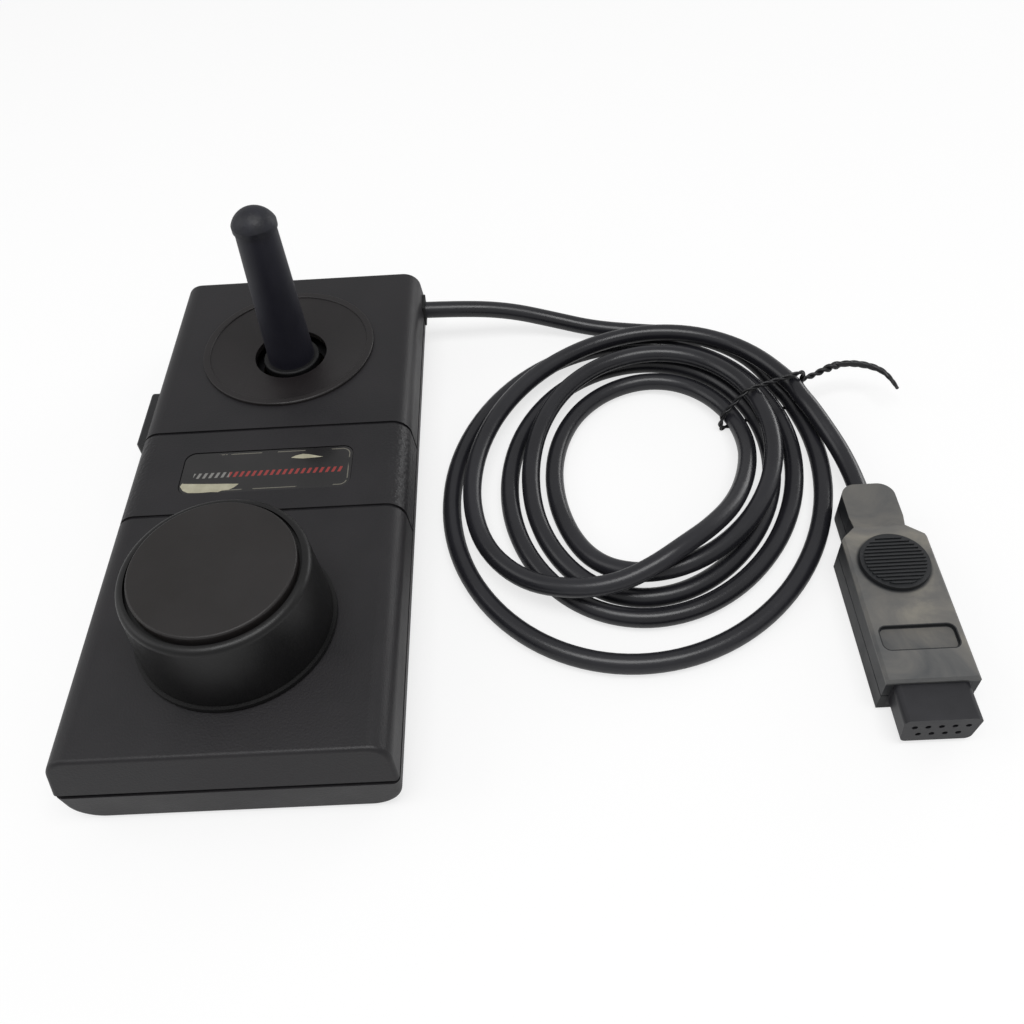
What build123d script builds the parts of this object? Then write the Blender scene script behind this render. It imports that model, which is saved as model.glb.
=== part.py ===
from build123d import *
import math
import os

os.makedirs("parts", exist_ok=True)

# Joystick and paddle controller, millimetres, +Z up.
# Origin: middle of the case, on the surface that it rests on. +Y points to the joystick end.

# Case, driving sizes
case_length = 156.0
case_width = 70.0
case_height = 22.0
seam_height = 11.5
wall = 2.2
seam_gap = 1.2
seam_depth = 0.8
side_lean = 1.1
shoulder_radius = 4.8
shoulder_inner_radius = 1.2
front_slope = 2.2
far_slope = 1.4
foot_inset = 0.7
foot_radius = 7.0
end_inset = 0.6
top_end_round = 1.0
foot_end_round = 1.6
lip_thickness = 1.2
lip_overlap = 1.6
lip_clearance = 0.12
fit_gap = 0.15
overrun = 6.0

# Middle band and label
band_far = 14.2
band_near = -13.4
band_groove_width = 0.9
band_groove_depth = 0.5
label_length = 41.5
label_width = 13.4
label_corner = 2.6
label_recess = 0.8
label_thickness = 0.6

# Joystick, from its axis and pivot
stick_end_inset = 32.5
pivot_height = 13.0
tilt_limit = 12.0
dish_hole_radius = 9.8
dish_drop = 2.2
bezel_thickness = 1.6
bezel_bead_inner = 21.2
bezel_bead_outer = 23.2
bezel_bead_height = 0.9
bezel_bead_round = 0.4
bezel_dish_edge = 0.4
bezel_seat_radius = 20.2
bezel_seat_gap = 0.2
collar_radius = 7.6
collar_thickness = 2.2
collar_top = 19.4
collar_round = 0.6
grip_base_radius = 6.3
grip_top_radius = 5.2
cap_radius = 5.6
cap_band = 1.4
cap_height = 5.2
stick_top_height = 65.0
shaft_radius = 3.2
cap_roof = 2.6
shaft_play = 0.05
hub_radius = 6.2
hub_half_height = 1.6
pin_radius = 1.4
pin_play = 0.05
pin_reach = 11.6
pin_root = 2.0
tail_radius = 2.0
tail_end_height = 5.5
tail_tip_round = 0.4
ring_inner_radius = 8.6
ring_outer_radius = 12.4
ring_half_height = 1.9
post_gap = 0.5
post_thickness = 3.4
post_width = 7.0
post_over_pin = 1.8
frame_base_thickness = 1.6
frame_base_width = 4.6
spring_wire = 0.6
spring_radius = 3.1
spring_turns = 2
clip_radius = 4.0
clip_thickness = 0.6
clip_height = 7.6
clip_groove_depth = 0.4
clip_mouth = 2.4
contact_thickness = 0.3
contact_width = 3.0
contact_height = 1.7
contact_foot = 3.4
contact_gap = 0.25

# Paddle, from its axis
paddle_end_inset = 33.0
knob_flange_radius = 21.5
knob_flange_height = 0.9
knob_foot_radius = 20.7
knob_lip_radius = 19.5
knob_lip_height = 18.5
knob_lip_round = 1.5
knob_run_gap = 0.4
knob_skirt_inner = 17.7
knob_roof = 2.4
knob_hub_radius = 6.4
knob_hub_gap = 0.6
knob_bore_play = 0.05
knob_cap_radius = 17.0
knob_cap_thickness = 2.6
knob_cap_gap = 0.8
knob_cap_stand = 1.3
knob_cap_round = 0.5
pot_radius = 12.0
pot_depth = 8.6
pot_wall = 0.8
pot_roof = 1.6
pot_bush_radius = 3.5
pot_bush_height = 6.2
pot_shaft_radius = 3.0
pot_shaft_play = 0.05
pot_shaft_engage = 9.9
pot_flat_depth = 0.9
pot_flat_length = 9.0
wiper_radius = 8.0
wiper_thickness = 1.5
wiper_gap = 1.6
washer_radius = 6.2
washer_thickness = 0.6
washer_play = 0.15
nut_across_flats = 10.0
nut_thickness = 2.4
terminal_block_width = 15.0
terminal_block_depth = 4.0
terminal_block_height = 3.4
terminal_count = 3
terminal_pitch = 5.0
terminal_width = 2.2
terminal_length = 6.5
terminal_thickness = 0.6
terminal_hole_radius = 0.6

# Fire button
button_stick_spacing = 21.0
button_length = 19.0
button_height = 5.0
button_z = 15.6
button_stand = 2.4
button_travel = 1.5
button_round = 1.0
button_gap = 0.25
button_flange = 1.3
button_flange_rise = 0.8
button_flange_thickness = 1.2
button_seat_gap = 0.9
button_stem_length = 5.8
button_stem_width = 6.0
button_stem_height = 3.0
leaf_thickness = 0.4
leaf_width = 5.0
leaf_foot = 7.6
leaf_rise = 1.0
leaf_gap = 0.2

# Circuit board and fasteners
board_width = 36.0
board_paddle_spacing = 27.0
board_end_inset = 14.0
board_thickness = 1.6
board_clearance = 0.8
board_boss_radius = 3.0
board_screw_x = 14.0
board_screw_inset = 10.0
board_screw_stick_spacing = 33.5
screw_radius = 1.2
screw_head_radius = 2.3
screw_head_height = 1.4
screw_play = 0.1
screw_bite = 1.4
case_screw_x = 24.0
case_screw_end_inset = 16.0
case_screw_radius = 1.5
case_screw_length = 13.0
case_screw_head_radius = 2.8
case_screw_head_height = 1.8
case_screw_sink = 1.0
case_boss_radius = 4.0
case_boss_split = 9.0
header_length = 8.5
header_board_inset = 2.0
header_width = 2.6
header_height = 3.2

# Wires inside the case
wire_radius = 0.5
wire_count = 4
wire_pitch = 2.0
wire_spread = 0.8
wire_bend = 2.2
wire_turn_in = 2.7
wire_end_bend = 1.2
paddle_wire_land = 1.5

# Cable and its grommet
cable_diameter = 4.8
cable_end_inset = 5.8
grommet_neck_radius = 2.9
grommet_flange_side = 6.4
grommet_inner_height = 6.6
grommet_flange_thickness = 1.2
grommet_inner_reach = 3.0
grommet_stand = 0.4
grommet_bore_play = 0.05
cable_header_gap = 2.4
cable_plug_run = 11.0
cable_turn_in = 6.5
cable_lead_run = 12.0
end_run_share = 0.9
shared_run_share = 0.45

# Coil of the cable: the outer turn is a sheared ellipse, and each later turn lies
# inside it by an offset that is small at the tie and wide where the turns fan out
coil_centre_x = 91.1
coil_centre_y = 8.5
coil_half_width = 48.4
coil_half_height = 56.2
coil_shear = 4.5
coil_tie_angle = 22.0
coil_quarter_turn = 90.0
coil_lift = 1.4
coil_layer = 5.5
coil_pitch = 5.6
coil_quarter_length = 80.0
floor_gap = 0.05
# stations of the coil, in quarter turns from the tie, closer together where the last turn crosses
coil_quarter_shares = [
    0, 1, 2, 3,
    4, 5, 6, 7,
    8, 9, 10, 11,
    12, 13, 14, 15,
    16, 16.5, 17, 17.5,
    18, 19, 20,
]
# inward offsets of the stations, in pitches
coil_offset_shares = [
    0, 0.02, 0.02, 0.53,
    0.96, 1.93, 2.82, 2.39,
    2.05, 2.95, 3.91, 3.02,
    1.98, 3.54, 5.04, 3.96,
    3.07, 3.68, 3.85, 2.65,
    1.15, 1.3, 0,
]
# heights of the stations, in layers
coil_layer_shares = [
    0, 0, 0, 0,
    0, 0, 0, 0,
    0, 0, 0, 1,
    1, 1, 0, 0,
    0, 1.15, 2.05, 1.35,
    0.5, 0.9, 1,
]

# Twist tie
tie_radius = 0.55
tie_clearance = 0.3
tie_twist_radius = 0.95
tie_bend = 1.8
tie_twist_reach = 6.5
tie_twist_lift = 0.4

# Plug
plug_x = 146.0
plug_top_y = -4.5
plug_end_y = -60.5
plug_half_width = 9.9
plug_half_height = 5.6
plug_neck_half_width = 6.4
plug_waist_half_width = 6.0
plug_neck_half_height = 4.7
plug_neck_length = 10.5
plug_waist_length = 13.5
plug_shoulder_length = 17.5
plug_neck_corner = 3.8
plug_corner = 2.4
plug_edge = 0.6
plug_seam = 0.3
pad_y = -29.8
pad_radius = 7.8
pad_rim = 0.9
pad_rise = 1.1
rib_count = 14
rib_width = 0.45
rib_height = 0.4
slot_y = -49.7
slot_length = 16.4
slot_width = 6.0
slot_depth = 0.9
slot_corner = 1.6
nose_half_width = 8.2
nose_narrow = 0.9
nose_half_height = 4.2
nose_corner = 1.4
nose_length = 8.5
nose_root = 3.0
nose_face = 1.2
nose_play = 0.05
contact_long_row = 5
contact_short_row = 4
contact_pitch = 2.76
contact_row_pitch = 2.84
socket_radius = 0.95
socket_bore = 0.5
socket_entry = 0.6

# Derived places
half_length = case_length / 2
half_width = case_width / 2
stick_y = half_length - stick_end_inset
grip_top_height = stick_top_height - cap_height
shaft_top_height = stick_top_height - cap_roof
paddle_y = paddle_end_inset - half_length
button_y = stick_y - button_stick_spacing
board_near = paddle_y + board_paddle_spacing
board_far = half_length - board_end_inset
board_screw_near = board_near + board_screw_inset
board_screw_far = stick_y - board_screw_stick_spacing
case_screw_y = half_length - case_screw_end_inset
header_near = board_far - header_width
header_left = board_width / 2 - header_board_inset - header_length
cable_exit_y = half_length - cable_end_inset
seam_top = seam_height + seam_gap / 2
seam_bottom = seam_height - seam_gap / 2
plate_under = case_height - wall
board_bottom = wall + board_clearance
board_top = board_bottom + board_thickness
cable_radius = cable_diameter / 2
knob_bottom = case_height + knob_run_gap
frame_ring_outer = ring_outer_radius + post_gap + post_thickness + (frame_base_width - post_thickness) / 2
frame_ring_inner = frame_ring_outer - frame_base_width
frame_screw_radius = (frame_ring_inner + frame_ring_outer) / 2
post_outer = ring_outer_radius + post_gap + post_thickness
case_screw_places = [(sx * case_screw_x, sy * case_screw_y) for sx in (-1, 1) for sy in (-1, 1)]
board_screw_places = [(sx * board_screw_x, y) for sx in (-1, 1) for y in (board_screw_near, board_screw_far)]
frame_screw_places = [(0, stick_y - frame_screw_radius), (0, stick_y + frame_screw_radius)]
stick_axis = Axis((0, stick_y, 0), (0, 0, 1))
paddle_axis = Axis((0, paddle_y, 0), (0, 0, 1))


def width_at(height):
    """Half width of the case at a height: it leans in above the seam and a little below it."""
    if height > seam_height:
        return half_width - side_lean * (height - seam_height) / (case_height - seam_height)
    return half_width - foot_inset * (seam_height - height) / seam_height


def near_at(height):
    """Place of the sloped near end at a height."""
    if height > seam_height:
        return -half_length + front_slope * (height - seam_height) / (case_height - seam_height)
    return -half_length + end_inset * (seam_height - height) / seam_height


def far_at(height):
    """Place of the far end at a height."""
    if height > seam_height:
        return half_length - far_slope * (height - seam_height) / (case_height - seam_height)
    return half_length - end_inset * (seam_height - height) / seam_height


def case_block(top, bottom, inset, corner_height, corner_radius, end_round):
    """Solid of the case between two heights: its front section crossed with its side section."""
    with BuildPart() as block:
        with BuildSketch(Plane.XZ) as front:
            with BuildLine():
                Polyline(
                    (inset - width_at(bottom), bottom),
                    (width_at(bottom) - inset, bottom),
                    (width_at(top) - inset, top),
                    (inset - width_at(top), top),
                    close=True,
                )
            make_face()
            fillet([v for v in front.vertices() if abs(v.Y - corner_height) < fit_gap], corner_radius)
        extrude(amount=case_length, both=True)
        with BuildSketch(Plane.YZ):
            with BuildLine():
                Polyline(
                    (near_at(bottom) + inset, bottom),
                    (far_at(bottom) - inset, bottom),
                    (far_at(top) - inset, top),
                    (near_at(top) + inset, top),
                    close=True,
                )
            make_face()
        extrude(amount=case_width, both=True, mode=Mode.INTERSECT)
        if end_round:
            seam = top + bottom - corner_height
            faces = block.faces().sort_by(Axis.Y)
            rims = [e for face in (faces[0], faces[-1]) for e in face.edges()]
            fillet([e for e in rims if abs(e.center().Z - seam) > fit_gap], end_round)
    return block.part


def tangent_arcs(points, tangents):
    """Unbroken chain of arcs, two between each pair of stations, tangent at every joint."""
    edges = []
    for start, end, leaving, arriving in zip(points, points[1:], tangents, tangents[1:]):
        across = end - start
        both = leaving + arriving
        bend = 2 * (1 - leaving.dot(arriving))
        along = across.dot(both)
        reach = (math.sqrt(along * along + bend * across.dot(across)) - along) / bend
        first = start + leaving * reach
        last = end - arriving * reach
        middle = (first + last) * 0.5
        for a, corner, b in ((start, first, middle), (middle, last, end)):
            half = (a + b) * 0.5
            flatness = (a - half).length / (a - corner).length
            edges.append(Edge.make_three_point_arc(a, corner + (half - corner) * (1 / (1 + flatness)), b))
    return edges


def route_radii(points):
    """Radius of each corner of a route: as large as the two runs beside it allow."""
    radii = []
    for before, corner, after in zip(points, points[1:], points[2:]):
        run_in = Vector(*corner) - Vector(*before)
        run_out = Vector(*after) - Vector(*corner)
        turn = math.radians(run_in.get_angle(run_out))
        share_in = end_run_share if before == points[0] else shared_run_share
        share_out = end_run_share if after == points[-1] else shared_run_share
        radii.append(min(share_in * run_in.length, share_out * run_out.length) / math.tan(turn / 2))
    return radii


# Top shell: outer form, hollow, bosses, and the openings for stick, knob, label, button and cable
top_outer = case_block(case_height, seam_top, 0, case_height, shoulder_radius, top_end_round)
top_hollow = case_block(plate_under, seam_top, wall, plate_under, shoulder_inner_radius, 0)
band_core = case_block(
    case_height - band_groove_depth,
    seam_top,
    band_groove_depth,
    case_height - band_groove_depth,
    shoulder_radius - band_groove_depth,
    0,
)

with BuildPart() as band_grooves:
    with BuildSketch(Plane.XY.offset(seam_top)):
        for groove_y in (band_near, band_far):
            with Locations((0, groove_y)):
                Rectangle(case_width, band_groove_width)
    extrude(amount=case_height)
    add(band_core, mode=Mode.SUBTRACT)

with BuildPart() as top_shell:
    add(top_outer)
    add(top_hollow, mode=Mode.SUBTRACT)
    # rebate that takes the lip of the bottom shell
    with BuildSketch(Plane.XY.offset(seam_top)):
        Rectangle(
            2 * (half_width - seam_depth + lip_clearance),
            2 * (half_length - seam_depth + lip_clearance),
        )
    extrude(amount=lip_overlap + lip_clearance, mode=Mode.SUBTRACT)
    # bosses for the case screws, clear of the walls of the bottom shell
    with BuildSketch(Plane.XY.offset(case_boss_split)):
        with Locations(*case_screw_places):
            Circle(case_boss_radius)
        boss_limit = wall + foot_inset + fit_gap
        Rectangle(2 * (half_width - boss_limit), 2 * (half_length - boss_limit), mode=Mode.INTERSECT)
    extrude(amount=plate_under - case_boss_split)
    with BuildSketch(Plane.XY.offset(case_boss_split)):
        with Locations(*case_screw_places):
            Circle(case_screw_radius + screw_play)
    extrude(amount=case_screw_length - (case_boss_split - case_screw_sink) + case_screw_radius, mode=Mode.SUBTRACT)
    # round opening of the joystick and hole of the paddle bush
    with BuildSketch(Plane.XY.offset(case_height)):
        with Locations((0, stick_y)):
            Circle(bezel_seat_radius + bezel_seat_gap)
        with Locations((0, paddle_y)):
            Circle(pot_bush_radius + fit_gap)
    extrude(amount=-wall - overrun, mode=Mode.SUBTRACT)
    # recess of the label
    with BuildSketch(Plane.XY.offset(case_height - label_recess)):
        RectangleRounded(label_length + 2 * fit_gap, label_width + 2 * fit_gap, label_corner + fit_gap)
    extrude(amount=label_recess + overrun, mode=Mode.SUBTRACT)
    # grooves that bound the middle band and wrap over the shoulders
    add(band_grooves.part, mode=Mode.SUBTRACT)
    # window of the fire button
    with BuildSketch(Plane.YZ.offset(-half_width - overrun)):
        with Locations((button_y, button_z)):
            Rectangle(button_length + 2 * button_gap, button_height + 2 * button_gap)
    extrude(amount=overrun + wall + side_lean, mode=Mode.SUBTRACT)
    # passage of the cable grommet
    with BuildSketch(Plane.YZ.offset(half_width - wall - overrun)):
        with Locations((cable_exit_y, seam_height)):
            Circle(grommet_neck_radius + fit_gap)
    extrude(amount=wall + 2 * overrun, mode=Mode.SUBTRACT)
    with BuildSketch(Plane.YZ.offset(half_width + grommet_stand - grommet_flange_thickness - fit_gap)):
        with Locations((cable_exit_y, seam_height)):
            Rectangle(grommet_flange_side + 2 * fit_gap, grommet_flange_side + 2 * fit_gap)
    extrude(amount=wall, mode=Mode.SUBTRACT)
top_shell.part.label = "top_shell"
export_step(top_shell.part, "parts/top_shell.step")


# Bottom shell: tray with a lip for the seam, screw bosses and board seats
bottom_outer = case_block(seam_bottom, 0, 0, 0, foot_radius, foot_end_round)
bottom_hollow = case_block(seam_bottom, wall, wall, wall, foot_radius - wall, 0)

with BuildPart() as bottom_shell:
    add(bottom_outer)
    add(bottom_hollow, mode=Mode.SUBTRACT)
    # lip that enters the top shell and forms the floor of the seam groove
    with BuildSketch(Plane.XY.offset(seam_bottom)):
        Rectangle(2 * (half_width - seam_depth), 2 * (half_length - seam_depth))
        Rectangle(
            2 * (half_width - seam_depth - lip_thickness),
            2 * (half_length - seam_depth - lip_thickness),
            mode=Mode.SUBTRACT,
        )
    extrude(amount=seam_gap + lip_overlap)
    # seats of the board and bosses of the case screws
    with BuildSketch(Plane.XY.offset(wall - screw_bite)):
        with Locations(*board_screw_places, *frame_screw_places):
            Circle(board_boss_radius)
    extrude(amount=screw_bite + board_clearance)
    with BuildSketch(Plane.XY.offset(case_screw_sink)):
        with Locations(*case_screw_places):
            Circle(case_boss_radius)
    extrude(amount=case_boss_split - fit_gap - case_screw_sink)
    with BuildSketch(Plane.XY.offset(board_bottom)):
        with Locations(*board_screw_places, *frame_screw_places):
            Circle(screw_radius + screw_play)
    extrude(amount=-board_clearance - screw_bite, mode=Mode.SUBTRACT)
    with BuildSketch(Plane.XY):
        with Locations(*case_screw_places):
            Circle(case_screw_radius + screw_play)
    extrude(amount=case_boss_split, mode=Mode.SUBTRACT)
    with BuildSketch(Plane.XY):
        with Locations(*case_screw_places):
            Circle(case_screw_head_radius + screw_play)
    extrude(amount=case_screw_sink + case_screw_head_height, mode=Mode.SUBTRACT)
    # the lip gives way to the fire button and to the cable grommet
    with BuildSketch(Plane.YZ.offset(-half_width - overrun)):
        with Locations((button_y, button_z)):
            Rectangle(
                button_length + 2 * (button_flange + button_gap),
                button_height + 2 * (button_flange_rise + button_gap),
            )
    extrude(amount=overrun + seam_depth + lip_thickness + button_gap, mode=Mode.SUBTRACT)
    with BuildSketch(Plane.YZ.offset(half_width - wall - overrun)):
        with Locations((cable_exit_y, seam_height)):
            Circle(grommet_neck_radius + fit_gap)
    extrude(amount=wall + 2 * overrun, mode=Mode.SUBTRACT)
    with BuildSketch(Plane.YZ.offset(half_width + grommet_stand - grommet_flange_thickness - fit_gap)):
        with Locations((cable_exit_y, seam_height)):
            Rectangle(grommet_flange_side + 2 * fit_gap, grommet_flange_side + 2 * fit_gap)
    extrude(amount=wall, mode=Mode.SUBTRACT)
bottom_shell.part.label = "bottom_shell"
export_step(bottom_shell.part, "parts/bottom_shell.step")


# Case screws, driven up from below
with BuildPart() as case_screws:
    with BuildSketch(Plane.XY.offset(case_screw_sink)):
        with Locations(*case_screw_places):
            Circle(case_screw_head_radius)
    extrude(amount=case_screw_head_height)
    with BuildSketch(Plane.XY.offset(case_screw_sink)):
        with Locations(*case_screw_places):
            Circle(case_screw_radius)
    extrude(amount=case_screw_length)
case_screws.part.label = "case_screws"
export_step(case_screws.part, "parts/case_screws.step")


# Label plate in the recess of the middle band
with BuildPart() as label_plate:
    with BuildSketch(Plane.XY.offset(case_height - label_recess)):
        RectangleRounded(label_length, label_width, label_corner)
    extrude(amount=label_thickness)
label_plate.part.label = "label_plate"
export_step(label_plate.part, "parts/label_plate.step")


# Bezel of the joystick: raised bead on the case, dish falling to the stick hole, skirt in the opening
with BuildPart() as joystick_bezel:
    with BuildSketch(Plane.XZ.offset(-stick_y)) as bezel_section:
        with BuildLine():
            Polyline(
                (dish_hole_radius, case_height - dish_drop),
                (bezel_bead_inner, case_height + bezel_dish_edge),
                (bezel_bead_inner, case_height + bezel_bead_height),
                (bezel_bead_outer, case_height + bezel_bead_height),
                (bezel_bead_outer, case_height),
                (bezel_seat_radius, case_height),
                (bezel_seat_radius, plate_under),
                (bezel_seat_radius - bezel_thickness, plate_under),
                (dish_hole_radius, case_height - dish_drop - bezel_thickness),
                close=True,
            )
        make_face()
        fillet(
            [v for v in bezel_section.vertices() if v.Y > case_height + (bezel_dish_edge + bezel_bead_height) / 2],
            bezel_bead_round,
        )
    revolve(axis=stick_axis)
joystick_bezel.part.label = "joystick_bezel"
export_step(joystick_bezel.part, "parts/joystick_bezel.step")


# Frame of the joystick: base ring on the board with two posts that carry the gimbal ring
with BuildPart() as joystick_frame:
    with BuildSketch(Plane.XY.offset(board_top)):
        with Locations((0, stick_y)):
            Circle(frame_ring_outer)
            Circle(frame_ring_inner, mode=Mode.SUBTRACT)
    extrude(amount=frame_base_thickness)
    with BuildSketch(Plane.XY.offset(board_top)):
        for side in (-1, 1):
            with Locations((side * (post_outer - post_thickness / 2), stick_y)):
                Rectangle(post_thickness, post_width)
    extrude(amount=pivot_height + pin_radius + post_over_pin - board_top)
    with BuildSketch(Plane.YZ.offset(-post_outer - overrun)):
        with Locations((stick_y, pivot_height)):
            Circle(pin_radius + pin_play)
    extrude(amount=2 * (post_outer + overrun), mode=Mode.SUBTRACT)
    with BuildSketch(Plane.XY.offset(board_top)):
        with Locations(*frame_screw_places):
            Circle(screw_radius + screw_play)
    extrude(amount=frame_base_thickness, mode=Mode.SUBTRACT)
joystick_frame.part.label = "joystick_frame"
export_step(joystick_frame.part, "parts/joystick_frame.step")


# Gimbal ring: turns in the posts on two pins and carries the stick across them
with BuildPart() as gimbal_ring:
    with BuildSketch(Plane.XY.offset(pivot_height - ring_half_height)):
        with Locations((0, stick_y)):
            Circle(ring_outer_radius)
            Circle(ring_inner_radius, mode=Mode.SUBTRACT)
    extrude(amount=2 * ring_half_height)
    for side in (-1, 1):
        with BuildSketch(Plane.YZ.offset(side * (ring_outer_radius - pin_root))):
            with Locations((stick_y, pivot_height)):
                Circle(pin_radius)
        extrude(amount=side * (post_outer - ring_outer_radius + pin_root))
    with BuildSketch(Plane.XZ.offset(-stick_y - ring_outer_radius - overrun)):
        with Locations((0, pivot_height)):
            Circle(pin_radius + pin_play)
    extrude(amount=2 * (ring_outer_radius + overrun), mode=Mode.SUBTRACT)
gimbal_ring.part.label = "gimbal_ring"
export_step(gimbal_ring.part, "parts/gimbal_ring.step")


# Stick shaft with its hub, cross pins, tail and the groove of the retaining clip
with BuildPart() as stick_shaft:
    with BuildSketch(Plane.XZ.offset(-stick_y)) as shaft_section:
        with BuildLine():
            Polyline(
                (0, tail_end_height),
                (tail_radius, tail_end_height),
                (tail_radius, clip_height),
                (tail_radius - clip_groove_depth, clip_height),
                (tail_radius - clip_groove_depth, clip_height + clip_thickness),
                (tail_radius, clip_height + clip_thickness),
                (tail_radius, pivot_height - hub_half_height),
                (hub_radius, pivot_height - hub_half_height),
                (hub_radius, pivot_height + hub_half_height),
                (shaft_radius, pivot_height + hub_half_height),
                (shaft_radius, shaft_top_height),
                (0, shaft_top_height),
                close=True,
            )
        make_face()
        fillet(
            [v for v in shaft_section.vertices() if v.X > 0 and v.Y < tail_end_height + tail_tip_round],
            tail_tip_round,
        )
    revolve(axis=stick_axis)
    with BuildSketch(Plane.XZ.offset(-stick_y - pin_reach)):
        with Locations((0, pivot_height)):
            Circle(pin_radius)
    extrude(amount=2 * pin_reach)
stick_shaft.part.label = "stick_shaft"
export_step(stick_shaft.part, "parts/stick_shaft.step")


# Retaining clip in its groove, and the preload spring between clip and hub
with BuildPart() as retaining_clip:
    with BuildSketch(Plane.XY.offset(clip_height)):
        with Locations((0, stick_y)):
            Circle(clip_radius)
            Circle(tail_radius - clip_groove_depth + shaft_play, mode=Mode.SUBTRACT)
        with Locations((0, stick_y - clip_radius / 2)):
            Rectangle(clip_mouth, clip_radius, mode=Mode.SUBTRACT)
    extrude(amount=clip_thickness)
retaining_clip.part.label = "retaining_clip"
export_step(retaining_clip.part, "parts/retaining_clip.step")

spring_low = clip_height + clip_thickness + spring_wire / 2 + floor_gap
spring_rise = pivot_height - hub_half_height - spring_wire / 2 - floor_gap - spring_low
spring_points = []
spring_tangents = []
for quarter in range(4 * spring_turns + 1):
    turned = math.radians(90 * quarter)
    spring_points.append(
        Vector(
            spring_radius * math.cos(turned),
            stick_y + spring_radius * math.sin(turned),
            spring_low + spring_rise * quarter / (4 * spring_turns),
        )
    )
    spring_tangents.append(
        Vector(
            -spring_radius * math.sin(turned),
            spring_radius * math.cos(turned),
            spring_rise / (2 * math.pi * spring_turns),
        ).normalized()
    )
with BuildPart() as centring_spring:
    with BuildLine() as spring_path:
        add(tangent_arcs(spring_points, spring_tangents))
    with BuildSketch(Plane(spring_points[0], z_dir=spring_tangents[0])):
        Circle(spring_wire / 2)
    sweep(path=spring_path.wires()[0])
centring_spring.part.label = "centring_spring"
export_step(centring_spring.part, "parts/centring_spring.step")


# Collar that covers the stick hole, and the tapered grip with its domed cap
with BuildPart() as stick_collar:
    with BuildSketch(Plane.XZ.offset(-stick_y)) as collar_section:
        with BuildLine():
            Polyline(
                (shaft_radius + shaft_play, collar_top - collar_thickness),
                (collar_radius, collar_top - collar_thickness),
                (collar_radius, collar_top),
                (shaft_radius + shaft_play, collar_top),
                close=True,
            )
        make_face()
        fillet([v for v in collar_section.vertices() if v.X > grip_base_radius and v.Y == collar_top], collar_round)
    revolve(axis=stick_axis)
stick_collar.part.label = "stick_collar"
export_step(stick_collar.part, "parts/stick_collar.step")

with BuildPart() as stick_grip:
    with BuildSketch(Plane.XZ.offset(-stick_y)):
        with BuildLine():
            Polyline(
                (shaft_radius + shaft_play, collar_top),
                (grip_base_radius, collar_top),
                (grip_top_radius, grip_top_height),
                (shaft_radius + shaft_play, grip_top_height),
                close=True,
            )
        make_face()
    revolve(axis=stick_axis)
stick_grip.part.label = "stick_grip"
export_step(stick_grip.part, "parts/stick_grip.step")

dome_rise = stick_top_height - grip_top_height - cap_band
dome_radius = (cap_radius**2 + dome_rise**2) / (2 * dome_rise)
dome_half_turn = math.asin(cap_radius / dome_radius) / 2
cap_hollow = shaft_top_height + shaft_play
with BuildPart() as stick_cap:
    with BuildSketch(Plane.XZ.offset(-stick_y)):
        with BuildLine():
            ThreePointArc(
                (cap_radius, grip_top_height + cap_band),
                (
                    dome_radius * math.sin(dome_half_turn),
                    stick_top_height - dome_radius * (1 - math.cos(dome_half_turn)),
                ),
                (0, stick_top_height),
            )
            Polyline(
                (0, stick_top_height),
                (0, cap_hollow),
                (shaft_radius + shaft_play, cap_hollow),
                (shaft_radius + shaft_play, grip_top_height),
                (cap_radius, grip_top_height),
                (cap_radius, grip_top_height + cap_band),
            )
        make_face()
    revolve(axis=stick_axis)
stick_cap.part.label = "stick_cap"
export_step(stick_cap.part, "parts/stick_cap.step")


# Four leaf contacts round the tail of the stick, one for each direction
with BuildPart() as direction_contacts:
    contact_inner = tail_radius + (pivot_height - tail_end_height) * math.sin(math.radians(tilt_limit)) + contact_gap
    with BuildSketch(Plane.XY.offset(board_top)):
        with PolarLocations(contact_inner + contact_thickness / 2, 4):
            Rectangle(contact_thickness, contact_width)
    extrude(amount=contact_height)
    with BuildSketch(Plane.XY.offset(board_top)):
        with PolarLocations(contact_inner + contact_foot / 2, 4):
            Rectangle(contact_foot, contact_width)
    extrude(amount=contact_thickness)
direction_contacts.part = direction_contacts.part.moved(Location((0, stick_y, 0)))
direction_contacts.part.label = "direction_contacts"
export_step(direction_contacts.part, "parts/direction_contacts.step")


# Circuit board and its screws
with BuildPart() as circuit_board:
    with BuildSketch(Plane.XY.offset(board_bottom)):
        with Locations((0, (board_near + board_far) / 2)):
            Rectangle(board_width, board_far - board_near)
        with Locations(*board_screw_places, *frame_screw_places):
            Circle(screw_radius + screw_play, mode=Mode.SUBTRACT)
    extrude(amount=board_thickness)
circuit_board.part.label = "circuit_board"
export_step(circuit_board.part, "parts/circuit_board.step")

with BuildPart() as board_screws:
    for places, seat in ((board_screw_places, board_top), (frame_screw_places, board_top + frame_base_thickness)):
        with BuildSketch(Plane.XY.offset(seat)):
            with Locations(*places):
                Circle(screw_head_radius)
        extrude(amount=screw_head_height)
        with BuildSketch(Plane.XY.offset(seat)):
            with Locations(*places):
                Circle(screw_radius)
        extrude(amount=wall - screw_bite + fit_gap - seat)
board_screws.part.label = "board_screws"
export_step(board_screws.part, "parts/board_screws.step")


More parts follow.
